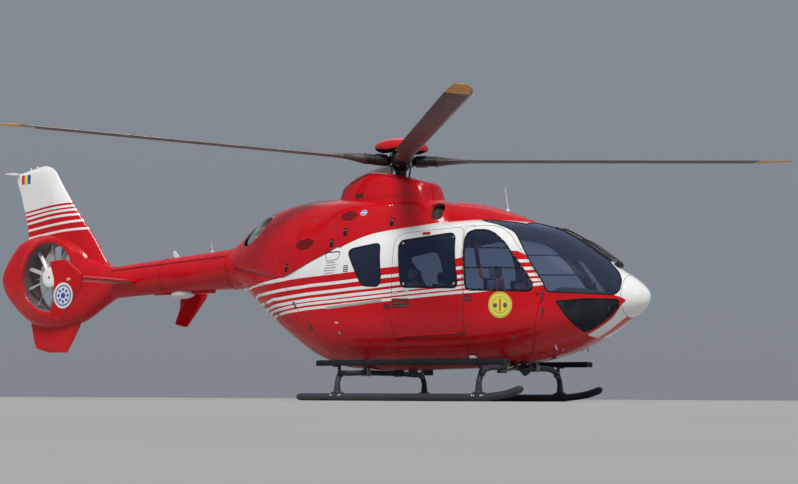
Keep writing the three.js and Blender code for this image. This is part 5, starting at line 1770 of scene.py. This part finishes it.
def crew_door_fittings(side, flip):
    kit = Trim(FUSELAGE)
    kit.surround(grown(CREW_WINDOW, 3), 25, 6.5)
    rim = grown(CREW_WINDOW, 4)
    length = np.concatenate([[0], np.cumsum(np.linalg.norm(np.diff(rim, axis=0), axis=1))])
    for d in np.arange(60, length[-1] - 40, 92.0):
        x, z = (np.interp(d, length, rim[:, k]) for k in (0, 1))
        if z > 1300:
            kit.stud(x, z, 9, 11, "steel")
    for a, b in (((1352, 1838), (1908, 1806)), ((1400, 1588), (2120, 1560))):
        kit.bead([a, b], 16, 17, 4, "rubber", -1)
        for k in (0.12, 0.3, 0.52, 0.72, 0.9):
            kit.stud(a[0] + (b[0] - a[0]) * k, a[1] + (b[1] - a[1]) * k, 6, 5, "steel", 1)
    # handle on a recess drawn as two darker patches that paint its shade
    kit.patch(1452, 1223, rect(50, 44, 8), "red_dull", 0.9, 2)
    kit.patch(1456, 1210, rect(38, 20, 7), "edge", 1.6, 2)
    kit.bead([(1420, 1212), (1494, 1216)], 10, 18, 15, "red", 2)
    round_emblem(kit, 1885, 1131)
    kit.patch(2002, 736, rect(26, 15, 5), "edge", 2)
    kit.patch(2350, 1246, rect(20, 12, 4), "black", 4, 4)
    kit.knuckles(CREW_HINGE, True)
    kit.make(f"crew_door_{side}_fittings", f"crew_door_{side}", "dark_trim", (), flip)


def clamshell_fittings(side, flip):
    kit = Trim(FUSELAGE)
    kit.knuckles(CLAM_HINGE, True)
    kit.patch(-1520, 1110, rect(40, 16, 5), "edge", 2)
    kit.patch(-1780, 1240, rect(18, 34, 5, 0.3), "red_dull", 2.4)
    for x, z in ((-1350, 820), (-1650, 990), (-1950, 1240)):
        kit.stud(x, z, 9, 3, "edge", sides=12)
    kit.make(f"clamshell_door_{side}_fittings", f"clamshell_door_{side}", "dark_trim", (), flip)


def cowl_fittings(side, flip):
    kit = Trim(COWL)
    kit.louvre(-405, 2318, 116, 72, 0.03)
    kit.louvre(-1005, 1975, 146, 68, 0.06)
    for x, z, skew in ((-587, 1975, 0.05), (-414, 2112, 0), (201, 2215, 0), (-1293, 1690, 0.2)):
        kit.latch(x, z, skew)
    kit.patch(-893, 2276, rect(22, 10, 4), "edge", 2.5)
    for outline, mat, lift in ((oval(44, 44, 32), "white_trim", 1.0), (oval(38, 38, 32), "sky_blue", 1.7),
                               (rect(36, 7, 4), "white_trim", 2.4)):
        kit.patch(-217, 2354, outline, mat, lift, 2)
    kit.seam([(-736, 2337), (-1100, 2318), (-1524, 2291), (-1900, 2170)])
    kit.seam([(-1805, 1879), (-1660, 1875), (-1520, 1867), (-1480, 1800), (-1420, 1700)], 4.5)
    kit.seam([(184, 2470), (220, 2330), (262, 2165)], 4.5)
    for z in np.arange(1960, 2430, 46.0):
        x = np.interp(z, *COWL_SPLIT)
        kit.fasteners([x - 20, x + 20], z, 4.5, 1.6)
    above_edge = lambda x: np.interp(x, [-1088, -693, -405, 19, 430, 700],
                                     [1672, 1839, 1985, 2115, 2180, 2184])
    kit.fasteners(np.arange(-1080, -420, 58.0), lambda x: above_edge(x) + 24, 4.5, 1.6)
    kit.fasteners(np.arange(-340, 620, 58.0), lambda x: above_edge(x) + 22, 4.5, 1.6)
    kit.stud(88, 2440, 13, 4, "steel", sides=12)
    kit.stud(120, 2446, 9, 4, "steel", sides=12)
    kit.make(f"cowl_fittings_{side}", "airframe", "dark_trim", (), flip)


def fairing_fittings(side, flip):
    kit = Trim(MAST)
    kit.seam([(-620, 2520), (-293, 2554), (149, 2577), (400, 2590), (470, 2600)], 6, 1.6)
    kit.seam([(-520, 2420), (-150, 2440), (330, 2450)])
    # lip along the top edge, with a thin dark red line under it that paints the lip's shade
    x = np.linspace(-640, 470, 50)
    kit.tube(MAST.at(x, 0.86), 9, "red_tail", 10, flat=0.5)
    kit.tube(MAST.at(x, 0.815, 0.6), 4, "red_dull", 6)
    kit.patch(-430, 2598, rect(64, 32, 5, -0.2), "black", 1.2)
    for k in range(-2, 3):
        kit.patch(-430 + 26 * k, 2598, rect(4, 30, 2, -0.2), "red_dull", 4.5, 4)
    kit.fasteners(np.arange(-560, 460, 64.0), 2470, 4, 1.5)
    kit.hull = ROOF
    foot = lambda x: float(ROOF.spot(x, meet(ROOF, FUSELAGE, x, 1.5, -1.2))[0][2])
    kit.fasteners(np.arange(1010, 1900, 84.0), lambda x: foot(x) + 22, 4, 1.5)
    kit.stud(1010, 2330, 9, 5, "steel", sides=10)
    kit.make(f"fairing_fittings_{side}", "airframe", "dark_trim", (), flip)


# Nose, wipers, aerials, lights and marks
def make_nose_dome():
    kit = Trim(FUSELAGE)
    wedge = polyline(flat([(3200, 1206), (3230, 1192), (3252, 1176), (3238, 1150), (3200, 1116)]), 8, True)
    skin = Skin(FUSELAGE, [wedge], step=14, x0=3204, x1=3420)
    paint = np.where(inside(wedge, skin.mid), 1, 0)
    kit.sheet(*skin.part(paint >= 0, paint, ["white", "red"], 12, both=True))
    rim = both_sides(FUSELAGE.raw(np.full(30, 3420.0), np.linspace(-PI / 2, PI / 2, 30)))
    middle = np.array([3420.0, 0, rim[:, 2].mean()])
    kit.rings([middle + (rim - middle) * math.sqrt(1 - u) + [23.5 * u, 0, 0]
               for u in (0, 0.2, 0.4, 0.6, 0.75, 0.88, 0.96, 0.995)], "white")
    for t in (0.4, 0.0, -0.5, -1.0):
        p, n = FUSELAGE.spot(3222, t)
        for side in ([1, 1, 1], [1, -1, 1]):
            kit.lathe([(5, -0.5), (4.4, 0.9), (2, 1.3)], p * side, n * side, "edge", 8)
    kit.make("nose_dome_skin", "airframe", "white_paint", ["nose_dome"])


def make_wipers():
    kit = Kit()
    for sy in (-1, 1):
        side = [1, -sy, 1]
        root = np.array([3046, sy * 34, 1600.0])
        kit.block((3046, sy * 34, 1597), (36, 24, 29), "black", 10)
        kit.lathe([(20, 0), (20, 24), (13, 30)], root + [0, 0, 14], (0.35, 0, 1), "black", 16)
        x = np.linspace(3040, 2600, 16)
        t = FUSELAGE.t_at_y(x, np.linspace(36, 92, 16))
        arm = FUSELAGE.at(x, t, 46 - 12 * np.linspace(0, 1, 16)) * side
        arm[0] = root + [0, 0, 34]
        kit.tube(arm, np.linspace(10, 6, 16), "black", 8, flat=0.6)
        kit.tube(arm[2:12] + [0, -sy * 22, 6], 3.5, "dark_trim", 6)
        x = np.linspace(2900, 2240, 26)
        t = FUSELAGE.t_at_y(x, np.linspace(84, 104, 26))
        kit.tube(FUSELAGE.at(x, t, 10) * side, 5.5, "rubber", 6)
        kit.tube(FUSELAGE.at(x[1:-1], t[1:-1], 20) * side, 6, "black", 8)
        for k in (5, 12, 20):
            low, high = (FUSELAGE.at(x[k], t[k], lift) * side for lift in (10, 24))
            kit.rod(low, high, 8, "black", sides=8)
    kit.make("wipers", "airframe", "dark_trim")


def make_aerials():
    """Whips on the roof fairing and the boom, and a small swept blade behind them."""
    kit = Kit()
    for hull, x, foot, sides, whip, radii, round_sides in (
            (ROOF, 1560, [(30, -2), (30, 6), (16, 16), (9, 34)], 20, [(0, 20), (-18, 150), (-44, 300)],
             [6, 4.5, 3], 10),
            (BOOM, -3080, [(26, -2), (26, 5), (12, 12), (6, 24)], 16, [(0, 10), (-8, 80), (-20, 150)],
             [5, 4, 3], 8)):
        base, _ = hull.spot(x, PI / 2)
        kit.lathe(foot, base, (0, 0, 1), "white_trim", sides)
        kit.tube([base + [a, 0, b] for a, b in whip], radii, "white_trim", round_sides)
    base, _ = BOOM.spot(-3700, PI / 2)
    blade = np.array([(40, -4), (-60, -4), (-82, 86), (-46, 92), (6, 40)]) + base[[0, 2]]
    kit.plate(blade, ((-7, -4), (-4, 0), (4, 0), (7, -4)), "white_trim")
    kit.make("aerials", "airframe", "white_paint")


def make_tail_lights():
    """Swept plate at the fin's top rear, stubs on its tip, and the light at the shroud's rear edge."""
    kit = Kit()
    plate = rounded([(-7045, 3350), (-7045, 3362), (-6900, 3366), (-6780, 3350), (-6780, 3322),
                     (-6860, 3322)],
                    5, 30, 3)
    kit.plate(plate, ((-62, -5), (-58, 0), (58, 0), (62, -5)), "white")
    kit.rod([-6560, 0, 3376], [-6560, 0, 3420], 12, "white_trim", 9, bevel=2)
    kit.rod([-6420, 0, 3396], [-6420, 0, 3430], 22, "clear_lens", 20, bevel=4)
    kit.lathe([(22, 0), (22, 14), (15, 26), (4, 30)], (-7038, 0, 1790), (-1, 0, 0), "clear_lens", 20)
    kit.make("tail_lights", "airframe", "white_paint")


def make_end_plate_marks():
    """Lamps on the end plates, and a plain roundel of a ring and spots below each."""
    kit = Kit()
    centre = np.array([-4574, 1400])
    for sy, lens in ((-1, "amber_lens"), (1, "red_lens")):
        def mark(outline, inner, outer, mat):
            kit.rings([[(x, sy * y, z) for x, z in outline] for y in (inner, outer)], mat)

        kit.lathe([(24, 0), (24, 10), (17, 22), (5, 28)], (-4470, sy * 1350, 1614), (0.3, sy, 0), lens, 18)
        mark(rect(34, 16, 8) + [-4478, 1614], 1349, 1352, "white_trim")
        mark(oval(176, 176, 56) + centre, 1349.5, 1351, "white_trim")
        kit.tube([(x, sy * 1351, z) for x, z in oval(134, 134, 48) + centre], 9, "blue", 6, flat=0.4,
                 up=(0, 1, 0), loop=True)
        for a in turns(8):
            mark(oval(21, 21, 18) + centre + [84 * math.cos(a), 84 * math.sin(a)], 1350.5, 1352, "blue")
        mark(oval(40, 40, 28) + centre, 1350.5, 1352, "blue")
    kit.make("end_plate_marks", "airframe", "white_paint")


def belly_height(x, y):
    t = FUSELAGE.t_at_y(np.array(float(x)), abs(y), -1)
    return float(FUSELAGE.spot(x, t)[0][2])


def make_belly():
    """Search lamp, small housings, a yellow hook and short aerials under the belly."""
    kit = Kit()
    z = float(FUSELAGE.spot(1900, -PI / 2)[0][2])
    kit.box(1850, 1960, -250, -190, z - 4, z + 60, "black", 8)
    kit.rod([1905, -220, z + 10], [1905, -220, z - 46], 20, "black", sides=16)
    aim = np.array([0.8, -0.1, -0.6])
    lamp = np.array([1905, -220, z - 84.0])
    kit.lathe([(40, -60), (56, -46), (62, 20), (64, 46), (58, 52)], lamp, aim, "black", 28)
    kit.lathe([(57, 0), (44, 7), (20, 12), (1, 13)], lamp + aim * 46, aim, "screen", 28)
    for x, y, mat in ((1640, -330, "black"), (1752, -240, "hub_dark"), (1700, -410, "dark_trim")):
        z = belly_height(x, y)
        kit.block((x, y, z - 20), (46, 34, 32), mat, 8)
        kit.rod([x, y, z - 30], [x + 60, y - 40, z - 78], 9, "steel", sides=10)
    kit.box(1735, 1760, -262, -236, 380, 402, "yellow", 4)
    hook = [(1640, -330, 420), (1700, -360, 392), (1773, -395, 400), (1800, -300, 420)]
    kit.tube(spline(hook, 5), 7, "yellow", 8)
    kit.box(1360, 1440, -600, -520, 512, 545, "white_trim", 10)
    for x, y in ((300, 180), (300, -180), (-60, 60), (1400, 120)):
        kit.block((x, y, belly_height(x, y) - 26), (70, 5, 40), "black", 4)
    kit.make("belly_equipment", "airframe", "dark_trim")


# Cabin
def coordinates(mesh):
    out = np.empty(len(mesh.vertices) * 3)
    mesh.vertices.foreach_get("co", out)
    return out.reshape(-1, 3)


def evaluated(o):
    return o.evaluated_get(bpy.context.evaluated_depsgraph_get())


def soften(o, cap=0.012):
    """Inflates a pad as cloth, with no vertex moved further than cap."""
    mesh = o.data
    start = coordinates(mesh)
    cloth = o.modifiers.new("cloth", "CLOTH")
    cloth.settings.use_pressure = True
    cloth.settings.uniform_pressure_force = 4
    cloth.settings.effector_weights.gravity = 0
    cloth.settings.quality = 5
    for f in range(1, 19):
        SCENE.frame_set(f)
    move = coordinates(evaluated(o).data) - start
    o.modifiers.remove(cloth)
    SCENE.frame_set(1)
    reach = np.linalg.norm(move, axis=1, keepdims=True)
    mesh.vertices.foreach_set("co", (start + move * np.minimum(1, cap / np.maximum(reach, 1e-9))).ravel())
    mesh.update()


def pad_mesh(name, lo, hi, corner, voxel, shape, channels):
    """Cushion in metres: rounded block, cloth pass, then crown, bolsters and sewn channels."""
    lo, hi = np.array(lo, float), np.array(hi, float)
    kit = Kit()
    rings = []
    for u in np.arange(9) / 8:
        pull = corner * (1 - math.sqrt(max(0, 1 - (2 * u - 1) ** 2 * 0.92))) * 0.55
        (x0, y0), (x1, y1) = lo[:2] + pull, hi[:2] - pull
        outline = rounded([(x0, y0), (x1, y0), (x1, y1), (x0, y1)], corner, 1000, 6)
        rings.append([(x, y, lo[2] + (hi[2] - lo[2]) * u) for x, y in outline])
    kit.rings(rings, "seat")
    mesh = bpy.data.meshes.new(name)
    mesh.from_pydata((np.concatenate(kit.p) / 1000).tolist(), [], kit.f)
    o = bpy.data.objects.new(name, mesh)
    ROOT.objects.link(o)
    remesh = o.modifiers.new("remesh", "REMESH")
    remesh.mode = "VOXEL"
    remesh.voxel_size = voxel / 1000
    fine = bpy.data.meshes.new_from_object(evaluated(o))
    o.modifiers.remove(remesh)
    o.data = fine
    soften(o)
    o.modifiers.new("sub", "SUBSURF").levels = 1
    done = bpy.data.meshes.new_from_object(evaluated(o))
    done.vertices.foreach_set("co", (shape(coordinates(done) * 1000, lo, hi, channels) / 1000).ravel())
    done.polygons.foreach_set("use_smooth", np.ones(len(done.polygons), bool))
    done.materials.clear()
    done.materials.append(MATS["seat"])
    bpy.data.objects.remove(o)
    return done


def groove(d, width=7.0):
    return np.exp(-(d / width) ** 2)


def sewn(v, lo, hi, face, along, channels, side_height, dish):
    """Raises a pad's sides, dishes its middle and sinks channels across it and a seam along each side.

    face is the axis that the pad looks along, and along is the one that its channels follow each other on.
    """
    c, half = (lo + hi) / 2, (hi - lo) / 2
    u = (v - c) / half
    v = v.copy()
    front = np.clip(u[:, face] * 1.6 - 0.1, 0, 1)
    side = np.clip((np.abs(u[:, 1]) - 0.55) / 0.45, 0, 1)
    raised = side_height[0] + side_height[1] * side * side * (3 - 2 * side)
    v[:, face] += front * (raised - dish(u) * (1 - side))
    for place in channels:
        v[:, face] -= front * 6 * groove(v[:, along] - place) * (np.abs(u[:, 1]) < 0.62)
    for y in (-0.6, 0.6):
        v[:, face] -= front * 6 * groove((u[:, 1] - y) * half[1])
    return u, v, half


def cushion_shape(v, lo, hi, channels):
    """Seat cushion, face up, with a piped edge."""
    u, v, half = sewn(v, lo, hi, 2, 0, channels, (-9, 15), lambda u: 7 * (1 - u[:, 0] ** 2))
    rim = groove(u[:, 2] * half[2] - half[2] * 0.55, 5)
    v[:, :2] -= np.sign(u[:, :2]) * (np.abs(u[:, :2]) > 0.86) * rim[:, None] * 3.0
    return v


def back_shape(v, lo, hi, channels):
    """Back cushion, facing forward, with its upper corners drawn in."""
    u, v, _ = sewn(v, lo, hi, 0, 2, channels, (-8, 14), lambda u: 5 * np.cos(u[:, 2] * PI))
    v[:, 1] -= np.sign(u[:, 1]) * (np.abs(u[:, 1]) > 0.6) * np.clip(u[:, 2] - 0.3, 0, 1) ** 2 * 46
    return v


def strap(kit, path, width, across, mat="belt", thick=2.4):
    path = spline(path, 6)
    across = np.asarray(across, float) / np.linalg.norm(across)
    n = np.cross(direction(path), across)
    n /= np.linalg.norm(n, axis=1, keepdims=True)
    w = width / 2
    section = [(-w, 0), (-w + 2, thick / 2), (-w * 0.3, thick * 0.62), (w * 0.3, thick * 0.62),
               (w - 2, thick / 2), (w, 0), (w - 2, -thick / 2), (-w + 2, -thick / 2)]
    kit.rings(np.stack([path + a * across + b * n for a, b in section], 1), mat)


def make_seat_frame(name, sx, y):
    """Pan, back shell, legs and harness of one seat."""
    kit = Kit()
    kit.box(sx - 248, sx + 196, y - 192, y + 192, 742, 764, "dark_trim", 8)
    shell = rounded([(-330, -190), (-312, -194), (-312, 194), (-330, 190)], 6, 1000, 3) + [sx, y]
    kit.rings([[(a, b, z) for a, b in shell] for z in (752, 1000, 1300, 1470, 1478)], "dark_trim")
    for b in (-56, 56):
        kit.rod([sx - 285, y + b, 1440], [sx - 285, y + b, 1500], 8, "steel", sides=10)
    for b in (-44, 44):
        kit.block((sx - 70, y + b, 590), (126, 12, 12), "gear_grey", 4)
        kit.rod([sx - 180, y + b, 596], [sx - 120, y + b, 744], 12, "gear_grey", sides=10)
        kit.rod([sx + 44, y + b, 596], [sx + 10, y + b, 744], 12, "gear_grey", sides=10)
    kit.rod([sx - 150, y - 44, 660], [sx - 150, y + 44, 660], 8, "gear_grey", sides=10)
    for b in (-74, 74):
        line = ((-262, 0.8, 1482), (-216, 0.85, 1474), (-206, 1, 1400), (-212, 0.98, 1240), (-208, 0.8, 1080),
                (-178, 0.45, 930), (-60, 0.16, 868))
        strap(kit, [(sx + x, y + b * k, z) for x, k, z in line], 50, (0, 1, 0))
    line = ((-190, -190, 800), (-170, -178, 862), (-110, -90, 862), (-40, 0, 868), (-110, 90, 862),
            (-170, 178, 862), (-190, 190, 800))
    strap(kit, [(sx + a, y + b, z) for a, b, z in line], 46, (0.8, 0, 0.5))
    kit.lathe([(34, 0), (36, 4), (34, 14), (20, 18), (8, 18.5)], (sx - 44, y, 866), (0.3, 0, 1), "steel", 24)
    kit.make(f"{name}_frame", "airframe", "seat_cloth", [name])


def make_seats():
    bottom = pad_mesh("seat_cushion", (-240, -186, 756), (190, 186, 848), 46, 13, cushion_shape,
                      (-120, -20, 80))
    back = pad_mesh("back_cushion", (-318, -184, 872), (-220, 184, 1466), 40, 13, back_shape,
                    (1000, 1120, 1240, 1350))
    rest = pad_mesh("head_cushion", (-316, -112, 1486), (-236, 112, 1628), 34, 9, back_shape, ())
    for kind, sx, sy in (("crew", 1840, 325), ("cabin", 700, 340)):
        for side, y in (("right", -sy), ("left", sy)):
            name = f"{kind}_seat_{side}"
            for word, mesh in (("cushion", bottom), ("backrest", back), ("headrest", rest)):
                data = mesh.copy()
                data.transform(Matrix.Translation(((sx + MX) / 1000, y / 1000, 0)))
                o = put(bpy.data.objects.new(f"{name}_{word}", data), "airframe")
            make_seat_frame(name, sx, y)


def make_console():
    """Instrument hood, panel with displays and dials, and the centre console with its keys."""
    kit = Kit()
    shape = [(2486, 905), (2486, 1262), (2470, 1300), (2488, 1326), (2560, 1330), (2650, 1312), (2715, 1262),
             (2718, 1000), (2700, 910)]
    rings = []
    for y in np.linspace(-328, 328, 27):
        low, slim = 1 - 0.10 * (abs(y) / 328) ** 4, 1 - 0.18 * (abs(y) / 328) ** 3
        rings.append([(2600 + (x - 2600) * slim, y, 905 + (z - 905) * low) for x, z in shape])
    kit.rings(rings, "dark_trim")
    for y, w in ((-300, 150), (-135, 120), (15, 120), (150, 150)):
        kit.box(2478, 2488, y, y + w, 1068, 1238, "black", 4)
        kit.box(2475, 2480, y + 10, y + w - 10, 1080, 1228, "screen", 2)
        for k in range(5):
            left = y + 12 + k * (w - 34) / 4
            kit.box(2474, 2480, left, left + 10, 1070, 1077, "white_trim", 1)
    for y in (-60, 0, 60):
        kit.lathe([(26, 0), (26, 8), (22, 9)], (2484, y, 1000), (-1, 0, 0), "steel", 20)
        kit.lathe([(21, 9.2), (1, 9.4)], (2484, y, 1000), (-1, 0, 0), "screen", 20)
    console = rounded([(2482, -128), (2618, -128), (2618, 128), (2482, 128)], 12, 1000, 3)
    kit.rings([[(x, y, z) for x, y in console] for z in (722, 780, 850, 905)], "panel_face")
    for j in range(4):
        for k in range(6):
            y, z = -104 + 36 * k, 738 + 40 * j
            kit.box(2476, 2484, y, y + 22, z, z + 24, "black" if (j + k) % 3 else "white_trim", 2)
    kit.make("instrument_console", "airframe", "dark_trim", ["instrument_panel"])


def make_glare_shield():
    kit = Kit()
    share = np.linspace(-1, 1, 25)
    droop = 70 * np.abs(share) ** 3
    rings = []
    for x in np.linspace(2420, 2960, 22):
        k = (x - 2420) / 540
        top = np.stack([np.full(25, x), share * (480 - 230 * k**1.4), 1352 - 96 * k**1.7 - droop], 1)
        rings.append(np.concatenate([top, top[::-1] - [0, 0, 22]]))
    kit.rings(rings, "dark_trim")
    kit.tube(np.stack([np.full(25, 2420.0), share * 480, 1341 - droop], 1), 13, "rubber", 10)
    kit.rod([2700, 0, 1330], [2700, 0, 1376], 20, "black", sides=20)
    kit.lathe([(42, 0), (44, 30), (34, 46), (10, 50)], (2700, 0, 1368), (0, 0, 1), "black", 28)
    kit.make("glare_shield", "airframe", "dark_trim")


def make_controls():
    kit = Kit()
    for sy in (-1, 1):
        # stick with its grip and boot, lever beside the seat, and pedals
        y, side = sy * 325, sy * 100
        stick = [(2210, y, 578), (2200, y, 700), (2170, y, 830), (2120, y, 930), (2110, y, 990)]
        kit.tube(spline(stick, 5), 13, "black", 12)
        kit.tube([(2110, y, 985), (2104, y, 1040), (2096, y, 1076)], [17, 20, 16], "rubber", 12)
        kit.lathe([(40, 0), (36, 10), (22, 26), (14, 34)], (2210, y, 576), (0, 0, 1), "rubber", 20)
        kit.tube(spline([(1720, side, 600), (1900, side, 720), (2010, side, 800)], 5), 12, "black", 10)
        kit.tube([(1990, side, 785), (2075, side, 846)], [17, 15], "rubber", 12)
        for d in (-80, 80):
            kit.rod([2440, y + d, 600], [2400, y + d, 700], 9, "steel", sides=10)
            kit.box(2380, 2400, y + d - 42, y + d + 42, 690, 760, "scuffed", 5)
    # harness straps from the roof behind the crew seats
    for sy in (-1, 1):
        line = ((1392, 500, 2080), (1396, 500, 1990), (1402, 498, 1820), (1412, 480, 1690), (1424, 460, 1600))
        strap(kit, [(x, sy * y, z) for x, y, z in line], 58, (0.86, 0, 0.1), "red_dull", 5)
        line = ((1424, 460, 1606), (1440, 440, 1500), (1500, 420, 1440), (1520, 410, 1380))
        strap(kit, [(x, sy * y, z) for x, y, z in line], 46, (0.86, 0, 0.1))
        kit.block((1394, sy * 500, 2086), (18, 30, 24), "black", 6)
    # overhead panel with its switches
    z = float(FUSELAGE.spot(1700, PI / 2)[0][2])
    kit.box(1480, 1860, -150, 150, z - 105, z - 62, "panel_face", 10)
    for j in range(5):
        for k in range(6):
            x, y = 1510 + 68 * j, -120 + 44 * k
            kit.box(x, x + 20, y, y + 20, z - 112, z - 103, "black" if (j * k) % 3 else "white_trim", 2)
    kit.make("cabin_controls", "airframe", "dark_trim")


def finish_cad():
    """Finishes of the solids that stay visible as they are."""
    for name, mat in (("cabin_floor", "carpet"), ("main_gearbox", "cast"), ("engine_right", "cast"),
                      ("engine_left", "cast")):
        for slot in bpy.data.objects[name].material_slots:
            slot.material = MATS[mat]


make_materials()
make_camera()
make_sky()
make_floor()
make_lights()
make_fuselage()
make_cowls()
make_fairings()
make_exhausts()
make_boom()
make_shroud()
make_fin()
make_stabilisers()
make_fan()
for blade in range(4):
    make_blade(blade)
make_rotor_cap()
make_rotor_head()
make_gear()
for way, turned_over in SIDES:
    fuselage_fittings(way, turned_over)
    sliding_door_fittings(way, turned_over)
    crew_door_fittings(way, turned_over)
    clamshell_fittings(way, turned_over)
    cowl_fittings(way, turned_over)
    fairing_fittings(way, turned_over)
make_nose_dome()
make_wipers()
make_aerials()
make_tail_lights()
make_end_plate_marks()
make_belly()
make_seats()
make_console()
make_glare_shield()
make_controls()
finish_cad()
